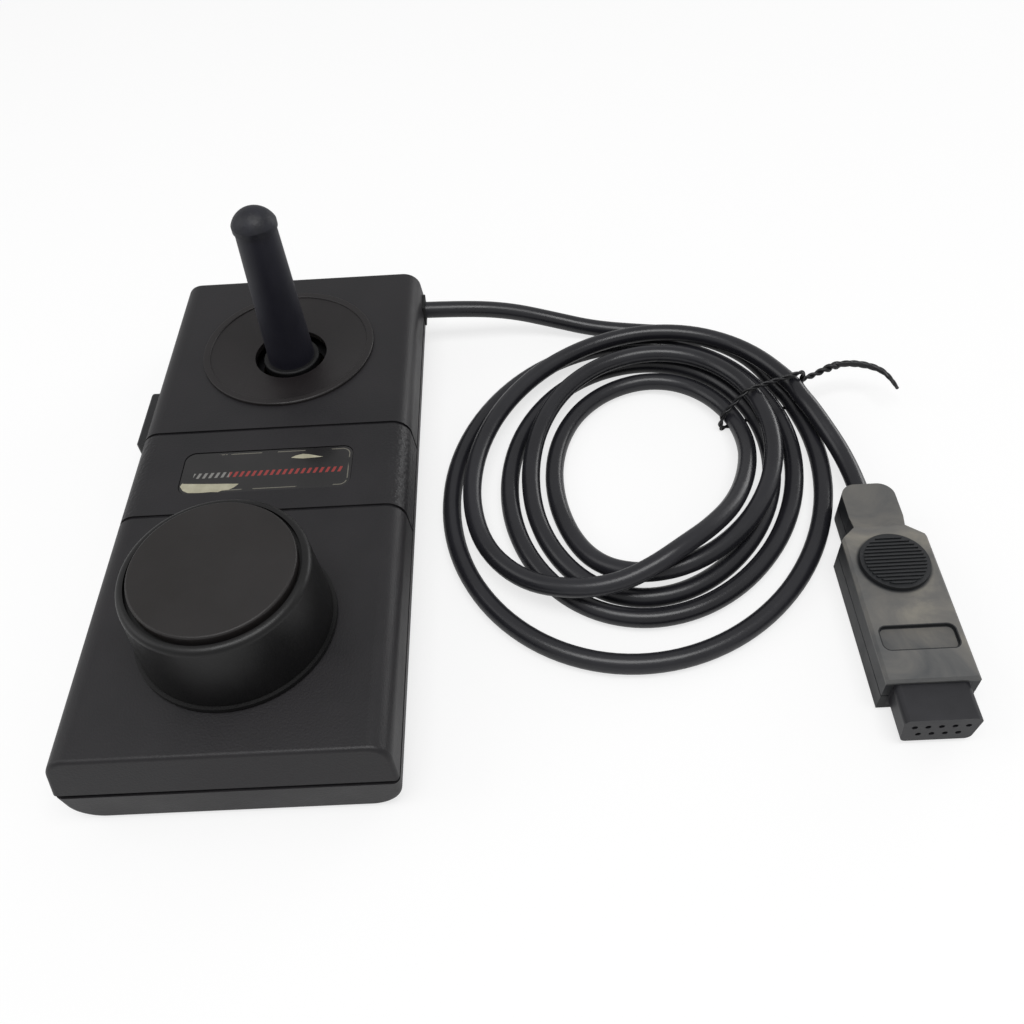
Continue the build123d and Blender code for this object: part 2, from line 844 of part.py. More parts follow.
# Paddle potentiometer: can, threaded bush, terminals, washer and nut
pot_top = plate_under
pot_bottom = pot_top - pot_depth
bush_top = pot_top + pot_bush_height
terminal_z = pot_bottom + terminal_block_height / 2
with BuildPart() as pot_body:
    with BuildSketch(Plane.XY.offset(pot_bottom)):
        with Locations((0, paddle_y)):
            Circle(pot_radius)
        with Locations((0, paddle_y + pot_radius - terminal_block_depth / 2)):
            Rectangle(terminal_block_width, terminal_block_depth)
    extrude(amount=terminal_block_height)
    with BuildSketch(Plane.XY.offset(pot_bottom)):
        with Locations((0, paddle_y)):
            Circle(pot_radius)
    extrude(amount=pot_depth)
    with BuildSketch(Plane.XY.offset(pot_top)):
        with Locations((0, paddle_y)):
            Circle(pot_bush_radius)
    extrude(amount=pot_bush_height)
    with BuildSketch(Plane.XY.offset(pot_bottom + pot_wall)):
        with Locations((0, paddle_y)):
            Circle(wiper_radius + pot_wall)
    extrude(amount=pot_depth - pot_wall - pot_roof, mode=Mode.SUBTRACT)
    with BuildSketch(Plane.XY.offset(pot_top - pot_roof)):
        with Locations((0, paddle_y)):
            Circle(pot_shaft_radius + pot_shaft_play)
    extrude(amount=pot_roof + pot_bush_height, mode=Mode.SUBTRACT)
pot_body.part.label = "pot_body"
export_step(pot_body.part, "parts/pot_body.step")

with BuildPart() as pot_terminals:
    with BuildSketch(Plane.XY.offset(terminal_z - terminal_thickness / 2)):
        with Locations((0, paddle_y + pot_radius + terminal_length / 2)):
            with GridLocations(terminal_pitch, 0, terminal_count, 1):
                Rectangle(terminal_width, terminal_length)
        with Locations((0, paddle_y + pot_radius + terminal_length / 2)):
            with GridLocations(terminal_pitch, 0, terminal_count, 1):
                Circle(terminal_hole_radius, mode=Mode.SUBTRACT)
    extrude(amount=terminal_thickness)
pot_terminals.part.label = "pot_terminals"
export_step(pot_terminals.part, "parts/pot_terminals.step")

with BuildPart() as pot_washer:
    with BuildSketch(Plane.XY.offset(case_height)):
        with Locations((0, paddle_y)):
            Circle(washer_radius)
            Circle(pot_bush_radius + washer_play, mode=Mode.SUBTRACT)
    extrude(amount=washer_thickness)
pot_washer.part.label = "pot_washer"
export_step(pot_washer.part, "parts/pot_washer.step")

with BuildPart() as pot_nut:
    with BuildSketch(Plane.XY.offset(case_height + washer_thickness)):
        with Locations((0, paddle_y)):
            RegularPolygon(nut_across_flats / 2, 6, major_radius=False)
            Circle(pot_bush_radius + pot_shaft_play, mode=Mode.SUBTRACT)
    extrude(amount=nut_thickness)
pot_nut.part.label = "pot_nut"
export_step(pot_nut.part, "parts/pot_nut.step")


# Paddle shaft with its wiper disc and flat, the hollow knob and the disc let into its top
knob_roof_under = knob_bottom + knob_lip_height + knob_cap_stand - knob_cap_thickness - knob_roof
knob_seat = knob_roof_under + knob_roof
shaft_top = bush_top + knob_hub_gap + pot_shaft_engage
flat_key = pot_flat_depth + (knob_hub_radius - pot_shaft_radius) / 2
with BuildPart() as pot_shaft:
    with BuildSketch(Plane.XY.offset(pot_bottom + wiper_gap)):
        with Locations((0, paddle_y)):
            Circle(wiper_radius)
    extrude(amount=wiper_thickness)
    with BuildSketch(Plane.XY.offset(pot_bottom + wiper_gap)):
        with Locations((0, paddle_y)):
            Circle(pot_shaft_radius)
    extrude(amount=shaft_top - pot_bottom - wiper_gap)
    with BuildSketch(Plane.XY.offset(shaft_top - pot_flat_length)):
        with Locations((0, paddle_y + 2 * pot_shaft_radius - pot_flat_depth)):
            Rectangle(2 * pot_shaft_radius, 2 * pot_shaft_radius)
    extrude(amount=pot_flat_length, mode=Mode.SUBTRACT)
pot_shaft.part.label = "pot_shaft"
export_step(pot_shaft.part, "parts/pot_shaft.step")

with BuildPart() as paddle_knob:
    with BuildSketch(Plane.XZ.offset(-paddle_y)) as knob_section:
        with BuildLine():
            Polyline(
                (knob_skirt_inner, knob_bottom),
                (knob_flange_radius, knob_bottom),
                (knob_flange_radius, knob_bottom + knob_flange_height),
                (knob_foot_radius, knob_bottom + knob_flange_height),
                (knob_lip_radius, knob_bottom + knob_lip_height),
                (knob_cap_radius + knob_cap_gap, knob_bottom + knob_lip_height),
                (knob_cap_radius + knob_cap_gap, knob_seat),
                (0, knob_seat),
                (0, knob_roof_under),
                (knob_skirt_inner, knob_roof_under),
                close=True,
            )
        make_face()
        lip = [v for v in knob_section.vertices() if v.Y > knob_seat and v.X > knob_cap_radius + 2 * knob_cap_gap]
        fillet(lip, knob_lip_round)
    revolve(axis=paddle_axis)
    with BuildSketch(Plane.XY.offset(bush_top + knob_hub_gap)):
        with Locations((0, paddle_y)):
            Circle(knob_hub_radius)
    extrude(amount=knob_roof_under - bush_top - knob_hub_gap)
    with BuildSketch(Plane.XY.offset(bush_top + knob_hub_gap)):
        with Locations((0, paddle_y)):
            Circle(pot_shaft_radius + knob_bore_play)
    extrude(amount=pot_shaft_engage + knob_bore_play, mode=Mode.SUBTRACT)
    with BuildSketch(Plane.XY.offset(shaft_top - pot_flat_length + knob_bore_play)):
        with Locations((0, paddle_y + pot_shaft_radius - pot_flat_depth + knob_bore_play + flat_key / 2)):
            Rectangle(2 * pot_shaft_radius, flat_key)
    extrude(amount=pot_flat_length)
paddle_knob.part.label = "paddle_knob"
export_step(paddle_knob.part, "parts/paddle_knob.step")

with BuildPart() as knob_cap:
    with BuildSketch(Plane.XY.offset(knob_seat)):
        with Locations((0, paddle_y)):
            Circle(knob_cap_radius)
    extrude(amount=knob_cap_thickness)
    fillet(knob_cap.faces().sort_by(Axis.Z)[-1].edges(), knob_cap_round)
knob_cap.part.label = "knob_cap"
export_step(knob_cap.part, "parts/knob_cap.step")


# Fire button: cap through the wall, flange behind it, stem, and the leaf contact on the board
button_wall_x = -width_at(button_z)
button_flange_x = button_wall_x + wall + button_seat_gap
button_stem_end = button_flange_x + button_flange_thickness + button_stem_length
with BuildPart() as fire_button:
    with BuildSketch(Plane.YZ.offset(button_wall_x - button_stand)):
        with Locations((button_y, button_z)):
            Rectangle(button_length, button_height)
    extrude(amount=button_stand + wall + button_seat_gap)
    fillet(fire_button.faces().sort_by(Axis.X)[0].edges(), button_round)
    with BuildSketch(Plane.YZ.offset(button_flange_x)):
        with Locations((button_y, button_z)):
            Rectangle(button_length + 2 * button_flange, button_height + 2 * button_flange_rise)
    extrude(amount=button_flange_thickness)
    with BuildSketch(Plane.YZ.offset(button_flange_x)):
        with Locations((button_y, button_z)):
            Rectangle(button_stem_width, button_stem_height)
    extrude(amount=button_flange_thickness + button_stem_length)
fire_button.part.label = "fire_button"
export_step(fire_button.part, "parts/fire_button.step")

leaf_x = button_stem_end + button_travel + leaf_gap
with BuildPart() as fire_contact:
    with BuildSketch(Plane.YZ.offset(leaf_x)):
        with Locations((button_y, (board_top + button_z + button_stem_height / 2 + leaf_rise) / 2)):
            Rectangle(leaf_width, button_z + button_stem_height / 2 + leaf_rise - board_top)
    extrude(amount=leaf_thickness)
    with BuildSketch(Plane.YZ.offset(leaf_x)):
        with Locations((button_y, board_top + leaf_thickness / 2)):
            Rectangle(leaf_width, leaf_thickness)
    extrude(amount=leaf_foot)
fire_contact.part.label = "fire_contact"
export_step(fire_contact.part, "parts/fire_contact.step")


# Header on the board, and the wires that join cable and paddle to it
header_far = header_near + header_width
with BuildPart() as wire_header:
    with BuildSketch(Plane.XY.offset(board_top)):
        with Locations((header_left + header_length / 2, header_near + header_width / 2)):
            Rectangle(header_length, header_width)
    extrude(amount=header_height)
wire_header.part.label = "wire_header"
export_step(wire_header.part, "parts/wire_header.step")

grommet_inner_x = half_width - wall - grommet_inner_reach
cable_inner_x = header_left + header_length + cable_header_gap
with BuildPart() as inner_wires:
    for wire in range(wire_count):
        wire_x = header_left + header_length - wire_pitch * (wire + 0.5) - fit_gap
        wire_y = cable_exit_y + wire_spread * (-1 if wire < wire_count / 2 else 1)
        wire_z = seam_height + wire_spread * (-1 if wire % 2 == 0 else 1)
        with BuildLine() as wire_path:
            FilletPolyline(
                (cable_inner_x, wire_y, wire_z),
                (wire_x, wire_y, wire_z),
                (wire_x, header_far + wire_turn_in, board_top + header_height / 2),
                (wire_x, header_far, board_top + header_height / 2),
                radius=[wire_bend, wire_end_bend],
            )
        with BuildSketch(Plane((cable_inner_x, wire_y, wire_z), z_dir=(-1, 0, 0))):
            Circle(wire_radius)
        sweep(path=wire_path.wires()[0])
inner_wires.part.label = "inner_wires"
export_step(inner_wires.part, "parts/inner_wires.step")

terminal_end = paddle_y + pot_radius + terminal_length
with BuildPart() as paddle_wires:
    for wire in range(terminal_count):
        wire_x = terminal_pitch * (wire - (terminal_count - 1) / 2)
        with BuildLine() as wire_path:
            FilletPolyline(
                (wire_x, terminal_end, terminal_z),
                (wire_x, board_near + paddle_wire_land, terminal_z),
                (wire_x, board_near + paddle_wire_land, board_top),
                radius=wire_bend,
            )
        with BuildSketch(Plane((wire_x, terminal_end, terminal_z), z_dir=(0, 1, 0))):
            Circle(wire_radius)
        sweep(path=wire_path.wires()[0])
paddle_wires.part.label = "paddle_wires"
export_step(paddle_wires.part, "parts/paddle_wires.step")


# Grommet in the seam of the right wall, and the cable inside the case
with BuildPart() as cable_grommet:
    with BuildSketch(Plane.YZ.offset(half_width + grommet_stand)):
        with Locations((cable_exit_y, seam_height)):
            Rectangle(grommet_flange_side, grommet_flange_side)
    extrude(amount=-grommet_flange_thickness)
    with BuildSketch(Plane.YZ.offset(half_width)):
        with Locations((cable_exit_y, seam_height)):
            Circle(grommet_neck_radius)
    extrude(amount=-wall - grommet_inner_reach)
    with BuildSketch(Plane.YZ.offset(width_at(seam_height + grommet_inner_height / 2) - wall - fit_gap)):
        with Locations((cable_exit_y, seam_height)):
            Rectangle(2 * grommet_neck_radius, grommet_inner_height)
    extrude(amount=-grommet_flange_thickness)
    with BuildSketch(Plane.YZ.offset(half_width + grommet_stand)):
        with Locations((cable_exit_y, seam_height)):
            Circle(cable_radius + grommet_bore_play)
    extrude(amount=-wall - grommet_inner_reach - overrun, mode=Mode.SUBTRACT)
cable_grommet.part.label = "cable_grommet"
export_step(cable_grommet.part, "parts/cable_grommet.step")

with BuildPart() as cable_inner:
    with BuildSketch(Plane.YZ.offset(half_width + grommet_stand)):
        with Locations((cable_exit_y, seam_height)):
            Circle(cable_radius)
    extrude(amount=cable_inner_x - half_width - grommet_stand)
cable_inner.part.label = "cable_inner"
export_step(cable_inner.part, "parts/cable_inner.step")


# Coil of the cable: stations along the turns, clockwise from the tie, joined by tangent arcs
def coil_frame(quarters):
    """Place on the outer turn, direction of travel and inward direction after some quarter turns."""
    angle = math.radians(coil_tie_angle - coil_quarter_turn * quarters)
    place = Vector(
        coil_centre_x + coil_half_width * math.cos(angle),
        coil_centre_y + coil_half_height * math.sin(angle) + coil_shear * math.cos(angle),
        0,
    )
    travel = Vector(
        coil_half_width * math.sin(angle),
        -coil_half_height * math.cos(angle) + coil_shear * math.sin(angle),
        0,
    ).normalized()
    return place, travel, Vector(travel.Y, -travel.X, 0)


coil_heights = []
for quarters, layer_share in zip(coil_quarter_shares, coil_layer_shares):
    if quarters % 4 == 0:
        rest = cable_radius + coil_lift
    else:
        rest = cable_radius + floor_gap
    coil_heights.append(rest + coil_layer * layer_share)

coil_points = []
coil_tangents = []
for station, quarters in enumerate(coil_quarter_shares):
    place, travel, inward = coil_frame(quarters)
    slope = Vector(0, 0, 0)
    if 0 < station < len(coil_quarter_shares) - 1:
        ahead, behind = station + 1, station - 1
        run = coil_quarter_length * (coil_quarter_shares[ahead] - coil_quarter_shares[behind])
        slope = inward * (coil_pitch * (coil_offset_shares[ahead] - coil_offset_shares[behind]) / run)
        if quarters % 1 > 0:
            slope = slope + Vector(0, 0, (coil_heights[ahead] - coil_heights[behind]) / run)
    coil_points.append(place + inward * (coil_offset_shares[station] * coil_pitch) + Vector(0, 0, coil_heights[station]))
    coil_tangents.append((travel + slope).normalized())
coil_start = coil_points[0] - coil_tangents[0] * cable_diameter
coil_end = coil_points[-1] + coil_tangents[-1] * cable_diameter

with BuildPart() as cable_coil:
    with BuildLine() as coil_path:
        Line(coil_start, coil_points[0])
        add(tangent_arcs(coil_points, coil_tangents))
        Line(coil_points[-1], coil_end)
    with BuildSketch(Plane(coil_start, z_dir=coil_tangents[0])):
        Circle(cable_radius)
    sweep(path=coil_path.wires()[0])
cable_coil.part.label = "cable_coil"
export_step(cable_coil.part, "parts/cable_coil.step")

coil_wire = coil_path.wires()[0]
coil_samples = 420
coil_marks = [coil_wire.position_at(mark / coil_samples) for mark in range(coil_samples + 1)]
apart = math.ceil(5 * cable_diameter / (coil_wire.length / coil_samples))
least = min(
    (coil_marks[i] - coil_marks[j]).length
    for i in range(coil_samples + 1)
    for j in range(i + apart, coil_samples + 1)
)
print(f"coil length {coil_wire.length:.1f}, least gap to itself {least - cable_diameter:.2f}")
print(f"coil volume {cable_coil.part.volume:.1f}, section x length "
      f"{math.pi * cable_radius ** 2 * coil_wire.length:.1f}")


# Free stretches of the cable: from the grommet to the coil, and from the coil to the plug
lead_points = [
    (half_width + grommet_stand, cable_exit_y, seam_height),
    (48.5, cable_exit_y, 11.2),
    (61.0, 73.2, 8.6),
    (73.0, 72.4, 5.2),
    (85.0, 69.8, 3.0),
    (98.6, 67.4, 2.6),
    (113.1, 64.8, 2.9),
    (123.2, 58.4, 3.4),
    tuple(coil_start - coil_tangents[0] * cable_lead_run),
    tuple(coil_start),
]
tail_points = [
    tuple(coil_end),
    tuple(coil_end + coil_tangents[-1] * cable_turn_in),
    (plug_x, plug_top_y + cable_plug_run, plug_half_height),
    (plug_x, plug_top_y, plug_half_height),
]
with BuildPart() as cable_lead:
    with BuildLine() as lead_path:
        FilletPolyline(*lead_points, radius=route_radii(lead_points))
    with BuildSketch(Plane(lead_points[0], z_dir=(1, 0, 0))):
        Circle(cable_radius)
    sweep(path=lead_path.wires()[0])
cable_lead.part.label = "cable_lead"
export_step(cable_lead.part, "parts/cable_lead.step")

with BuildPart() as cable_tail:
    with BuildLine() as tail_path:
        FilletPolyline(*tail_points, radius=route_radii(tail_points))
    with BuildSketch(Plane(tail_points[0], z_dir=coil_tangents[-1])):
        Circle(cable_radius)
    sweep(path=tail_path.wires()[0])
cable_tail.part.label = "cable_tail"
export_step(cable_tail.part, "parts/cable_tail.step")

for stretch, path, points in ((cable_lead, lead_path, lead_points), (cable_tail, tail_path, tail_points)):
    length = path.wires()[0].length
    print(stretch.part.label, "radii", [round(radius, 1) for radius in route_radii(points)])
    print(f"length {length:.1f}, volume {stretch.part.volume:.1f}, section x length "
          f"{math.pi * cable_radius ** 2 * length:.1f}")


# Twist tie round the bundle, with its twisted ends drawn off to the side
tie_place, tie_travel, tie_inward = coil_frame(0)
tie_reach = cable_radius + tie_radius + tie_clearance
tie_inner = coil_pitch * coil_offset_shares[16] + tie_reach
tie_second = coil_pitch * coil_offset_shares[12]
tie_top = cable_radius + coil_lift + coil_layer + tie_reach
tie_low_top = cable_radius + coil_lift + tie_reach


def tie_point(inward_offset, height):
    """Point of the tie, in the upright plane across the bundle."""
    return tie_place + tie_inward * inward_offset + Vector(0, 0, height)


tie_end_gap = 2 * tie_radius - floor_gap
tie_height = (tie_top + tie_low_top) / 2
with BuildPart() as twist_tie:
    with BuildLine() as tie_path:
        FilletPolyline(
            tie_point(-tie_reach, tie_height - tie_end_gap / 2),
            tie_point(-tie_reach, tie_radius),
            tie_point(tie_inner, tie_radius),
            tie_point(tie_inner, tie_low_top - tie_bend / 2),
            tie_point(tie_second + tie_reach, tie_top),
            tie_point(-tie_reach, tie_top),
            tie_point(-tie_reach, tie_height + tie_end_gap / 2),
            radius=tie_bend / 2,
        )
    with BuildSketch(Plane(tie_point(-tie_reach, tie_height - tie_end_gap / 2), z_dir=(0, 0, -1))):
        Circle(tie_radius)
    sweep(path=tie_path.wires()[0])
    # twisted ends
    with BuildLine() as twist_path:
        FilletPolyline(
            tie_point(-tie_reach, tie_height),
            tie_point(-tie_reach - tie_twist_reach, tie_height + tie_twist_lift),
            (151.5, 39.4, 10.6),
            (159.0, 38.6, 9.6),
            (163.6, 35.6, 9.0),
            (164.4, 30.8, 8.4),
            radius=tie_bend,
        )
    with BuildSketch(Plane(tie_point(-tie_reach, tie_height), z_dir=twist_path.wires()[0].tangent_at(0))):
        Circle(tie_twist_radius)
    sweep(path=twist_path.wires()[0])
twist_tie.part.label = "twist_tie"
export_step(twist_tie.part, "parts/twist_tie.step")


# Plug: two housing halves with a lobed neck, a ribbed round pad and a sunk slot on the upper one
neck_y = plug_top_y - plug_neck_length
waist_y = plug_top_y - plug_waist_length
shoulder_y = plug_top_y - plug_shoulder_length
nose_tip_y = plug_end_y - nose_length


def plug_half(side):
    """One half of the plug housing, above or below the parting plane."""
    with BuildPart() as half:
        with BuildSketch(Plane.XY.offset(plug_half_height + side * plug_seam / 2)) as plan:
            with BuildLine():
                Polyline(
                    (plug_x, plug_top_y),
                    (plug_x + plug_neck_half_width, plug_top_y),
                    (plug_x + plug_neck_half_width, neck_y),
                    (plug_x + plug_waist_half_width, waist_y),
                    (plug_x + plug_half_width, shoulder_y),
                    (plug_x + plug_half_width, plug_end_y),
                    (plug_x, plug_end_y),
                    close=True,
                )
            make_face()
            mirror(about=Plane.YZ.offset(plug_x))
            neck = [v for v in plan.vertices() if abs(v.Y - plug_top_y) < fit_gap]
            body = [v for v in plan.vertices() if v.Y < neck_y + fit_gap and abs(v.X - plug_x) > fit_gap]
            fillet([v for v in neck if abs(v.X - plug_x) > fit_gap], plug_neck_corner)
            fillet(body, plug_corner)
        extrude(amount=side * (plug_half_height - plug_seam / 2))
        with BuildSketch(Plane.YZ.offset(plug_x)):
            with BuildLine():
                Polyline(
                    (plug_top_y, plug_half_height),
                    (plug_top_y, plug_half_height + side * plug_neck_half_height),
                    (waist_y, plug_half_height + side * plug_neck_half_height),
                    (shoulder_y, plug_half_height + side * plug_half_height),
                    (plug_end_y, plug_half_height + side * plug_half_height),
                    (plug_end_y, plug_half_height),
                    close=True,
                )
            make_face()
        extrude(amount=2 * plug_half_width, both=True, mode=Mode.INTERSECT)
        # pocket of the connector nose
        with BuildSketch(Plane.XZ.offset(-plug_end_y)):
            with Locations((plug_x, plug_half_height)):
                Rectangle(2 * (nose_half_width + nose_play), 2 * (nose_half_height + nose_play))
        extrude(amount=-nose_root, mode=Mode.SUBTRACT)
    return half.part


upper_half = plug_half(1)
lower_half = plug_half(-1)
plug_top = 2 * plug_half_height

with BuildPart() as plug_upper_housing:
    add(upper_half)
    crown = plug_upper_housing.faces().sort_by(Axis.Z)[-1]
    chamfer(crown.edges().filter_by(lambda e: abs(e.center().Y - shoulder_y) > fit_gap), plug_edge)
    # round raised pad with ribs across it
    with BuildSketch(Plane.XY.offset(plug_top)):
        with Locations((plug_x, pad_y)):
            Circle(pad_radius)
    extrude(amount=pad_rise)
    with BuildSketch(Plane.XY.offset(plug_top + pad_rise)):
        with Locations((plug_x, pad_y)):
            with GridLocations(0, 2 * (pad_radius - pad_rim) / rib_count, 1, rib_count):
                Rectangle(2 * pad_radius, rib_width)
            Circle(pad_radius - pad_rim, mode=Mode.INTERSECT)
    extrude(amount=rib_height)
    # sunk grip slot
    with BuildSketch(Plane.XY.offset(plug_top)):
        with Locations((plug_x, slot_y)):
            RectangleRounded(slot_length, slot_width, slot_corner)
    extrude(amount=-slot_depth, mode=Mode.SUBTRACT)
plug_upper_housing.part.label = "plug_upper_housing"
export_step(plug_upper_housing.part, "parts/plug_upper_housing.step")

with BuildPart() as plug_lower_housing:
    add(lower_half)
    base = plug_lower_housing.faces().sort_by(Axis.Z)[0]
    chamfer(base.edges().filter_by(lambda e: abs(e.center().Y - shoulder_y) > fit_gap), plug_edge)
plug_lower_housing.part.label = "plug_lower_housing"
export_step(plug_lower_housing.part, "parts/plug_lower_housing.step")


# Connector nose with its nine sockets
socket_places = [
    (plug_x + contact_pitch * (place - (contact_long_row - 1) / 2), plug_half_height + contact_row_pitch / 2)
    for place in range(contact_long_row)
] + [
    (plug_x + contact_pitch * (place - (contact_short_row - 1) / 2), plug_half_height - contact_row_pitch / 2)
    for place in range(contact_short_row)
]
with BuildPart() as plug_nose:
    with BuildSketch(Plane.XZ.offset(-plug_end_y)):
        with Locations((plug_x, plug_half_height)):
            Rectangle(2 * nose_half_width, 2 * nose_half_height)
    extrude(amount=-nose_root)
    with BuildSketch(Plane.XZ.offset(-plug_end_y)) as nose_section:
        with BuildLine():
            Polyline(
                (plug_x - nose_half_width, plug_half_height + nose_half_height),
                (plug_x + nose_half_width, plug_half_height + nose_half_height),
                (plug_x + nose_half_width - nose_narrow, plug_half_height - nose_half_height),
                (plug_x - nose_half_width + nose_narrow, plug_half_height - nose_half_height),
                close=True,
            )
        make_face()
        fillet(nose_section.vertices(), nose_corner)
    extrude(amount=nose_length)
    with BuildSketch(Plane.XZ.offset(-nose_tip_y)):
        with Locations(*socket_places):
            Circle(socket_entry)
    extrude(amount=-nose_face, mode=Mode.SUBTRACT)
    with BuildSketch(Plane.XZ.offset(-nose_tip_y - nose_face)):
        with Locations(*socket_places):
            Circle(socket_radius + nose_play)
    extrude(amount=-nose_length - nose_root, mode=Mode.SUBTRACT)
plug_nose.part.label = "plug_nose"
export_step(plug_nose.part, "parts/plug_nose.step")

with BuildPart() as plug_contacts:
    with BuildSketch(Plane.XZ.offset(-nose_tip_y - nose_face)):
        with Locations(*socket_places):
            Circle(socket_radius)
            Circle(socket_bore, mode=Mode.SUBTRACT)
    extrude(amount=-(nose_length + nose_root - nose_face))
plug_contacts.part.label = "plug_contacts"
export_step(plug_contacts.part, "parts/plug_contacts.step")
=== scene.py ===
# %% [markdown]
# # A joystick and paddle controller, dressed for the camera
# The solid model of the controller is already made: a low moulded box with a joystick, a turning
# paddle, a side fire button and a coiled lead with its plug. This lesson loads it, sets the camera,
# lays the cable, and then gives each part the finish of the real plastic, rubber or metal.
# The model is a fixed frame: nothing in it is moved, so every new piece goes where it says.

# %% Load the solid model
import math

import bmesh
import bpy
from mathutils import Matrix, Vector


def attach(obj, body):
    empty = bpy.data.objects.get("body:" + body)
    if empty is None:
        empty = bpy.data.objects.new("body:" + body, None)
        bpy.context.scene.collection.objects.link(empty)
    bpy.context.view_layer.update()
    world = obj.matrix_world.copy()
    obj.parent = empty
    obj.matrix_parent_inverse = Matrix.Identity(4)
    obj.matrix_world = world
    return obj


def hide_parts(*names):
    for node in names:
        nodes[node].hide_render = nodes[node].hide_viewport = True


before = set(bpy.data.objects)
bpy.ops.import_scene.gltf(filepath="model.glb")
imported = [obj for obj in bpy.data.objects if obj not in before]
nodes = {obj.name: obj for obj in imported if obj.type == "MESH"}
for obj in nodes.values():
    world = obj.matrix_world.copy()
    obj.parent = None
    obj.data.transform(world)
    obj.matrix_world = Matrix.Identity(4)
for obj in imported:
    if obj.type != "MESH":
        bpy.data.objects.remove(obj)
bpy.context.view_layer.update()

# %% [markdown]
# ## Units
# Blender measures in metres and the controller is a hand's breadth wide, so its sizes are easier to
# read in millimetres. One number turns them round. The same goes for patterns: a noise texture
# counts its lumps per metre, so a lump of so many millimetres needs a thousand over that.

# %% Millimetres
mm = 0.001


def metres(points):
    """The same points, in metres."""
    return [tuple(value * mm for value in point) for point in points]


def lumps(size):
    """Texture scale that gives lumps of a size in millimetres."""
    return 1000 / size


# %% [markdown]
# ## Camera
# The picture was taken by hand from the near side, looking down at about fifty degrees, close enough
# for the near end of the box to look wider than the far end. The place and lens come from fitting the
# box's edges to the picture, which gives a close, wide view that a long lens from far away would not.

# %% Camera
camera = bpy.data.cameras.new("camera")
camera.lens = 34.652
camera.sensor_width = 36
camera.clip_start = 0.01
camera_object = bpy.data.objects.new("camera", camera)
camera_object.location = (0.064419, -0.165162, 0.194339)
camera_object.rotation_euler = (0.706557, 0.050607, -0.024885)
bpy.context.scene.collection.objects.link(camera_object)
bpy.context.scene.camera = camera_object
print("camera lens:", camera.lens, "mm")

# %% [markdown]
# ## The coiled cable
# The lead is a soft round PVC cable of 4.8 mm. It leaves the far right corner of the box, runs along
# the table, goes five times round in a slim oval bundle and ends in the plug. A cable keeps a smooth
# curve of one length, so it is one NURBS spline with a round bevel and not bent pipes: its control
# points are the route's corners, and the spline cuts smoothly inside them.

# %% Route of the cable
cable_diameter = 4.8
coil_centre = (91.1, 8.5)
coil_half_width = 48.4
coil_half_height = 56.2
coil_shear = 4.5
coil_tie_angle = 22.0
coil_pitch = 5.6
coil_layer = 5.5
coil_lift = 1.4
floor_gap = 0.05
coil_quarters = [0, 1, 2, 3, 4, 5, 6, 7, 8, 9, 10, 11, 12, 13, 14, 15, 16, 16.5, 17, 17.5, 18, 19, 20]
coil_offsets = [
    0, 0.02, 0.02, 0.53,
    0.96, 1.93, 2.82, 2.39,
    2.05, 2.95, 3.91, 3.02,
    1.98, 3.54, 5.04, 3.96,
    3.07, 3.68, 3.85, 2.65,
    1.15, 1.3, 0,
]
coil_layers = [
    0, 0, 0, 0,
    0, 0, 0, 0,
    0, 0, 0, 1,
    1, 1, 0, 0,
    0, 1.15, 2.05, 1.35,
    0.5, 0.9, 1,
]


def coil_frame(quarter):
    """Place on the outer turn, travel and inward directions, after so many quarter turns."""
    angle = math.radians(coil_tie_angle - 90 * quarter)
    out = Vector((
        coil_half_width * math.cos(angle),
        coil_half_height * math.sin(angle) + coil_shear * math.cos(angle),
        0,
    ))
    travel = Vector((
        coil_half_width * math.sin(angle),
        -coil_half_height * math.cos(angle) + coil_shear * math.sin(angle),
        0,
    )).normalized()
    return out, travel, Vector((travel.y, -travel.x, 0))


# %% [markdown]
# The turns are a loop of control points. The loop walks round the oval, and two short lists say, at
# stations along the way, how far in from the outer turn the cable lies and which layer it is on.
# Between the stations both are eased, so that turns drift and cross as loose ones do.

# %% Turns of the coil
steps = 5


def eased(values, quarter, sloping):
    """Value at a place between stations; a station slopes as its neighbours do, or is level."""
    low = max(i for i, start in enumerate(coil_quarters[:-1]) if start <= quarter)
    span = coil_quarters[low + 1] - coil_quarters[low]
    t = (quarter - coil_quarters[low]) / span
    slopes = []
    for station in (low, low + 1):
        slope = 0
        if 0 < station < len(values) - 1 and sloping(coil_quarters[station]):
            rise = values[station + 1] - values[station - 1]
            slope = rise / (coil_quarters[station + 1] - coil_quarters[station - 1])
        slopes.append(slope * span)
    return (
        values[low] * (2 * t**3 - 3 * t**2 + 1)
        + slopes[0] * (t**3 - 2 * t**2 + t)
        + values[low + 1] * (3 * t**2 - 2 * t**3)
        + slopes[1] * (t**3 - t**2)
    )


heights = [
    cable_diameter / 2 + (coil_lift if quarter % 4 == 0 else floor_gap) + coil_layer * layer
    for quarter, layer in zip(coil_quarters, coil_layers)
]
outwards = 1 / math.cos(math.radians(90 / steps / 2))
turns = []
for step in range(steps * coil_quarters[-1] + 1):
    quarter = step / steps
    out, travel, inward = coil_frame(quarter)
    place = (out + inward * eased(coil_offsets, quarter, lambda station: True) * coil_pitch) * outwards
    height = eased(heights, quarter, lambda station: station % 1 > 0)
    turns.append((coil_centre[0] + place.x, coil_centre[1] + place.y, height))
print("control points in the coil:", len(turns))

# %% [markdown]
# The free ends are short: out of the grommet and down to the table on one side, and off the top of
# the bundle into the plug on the other. They take the route's own corners.

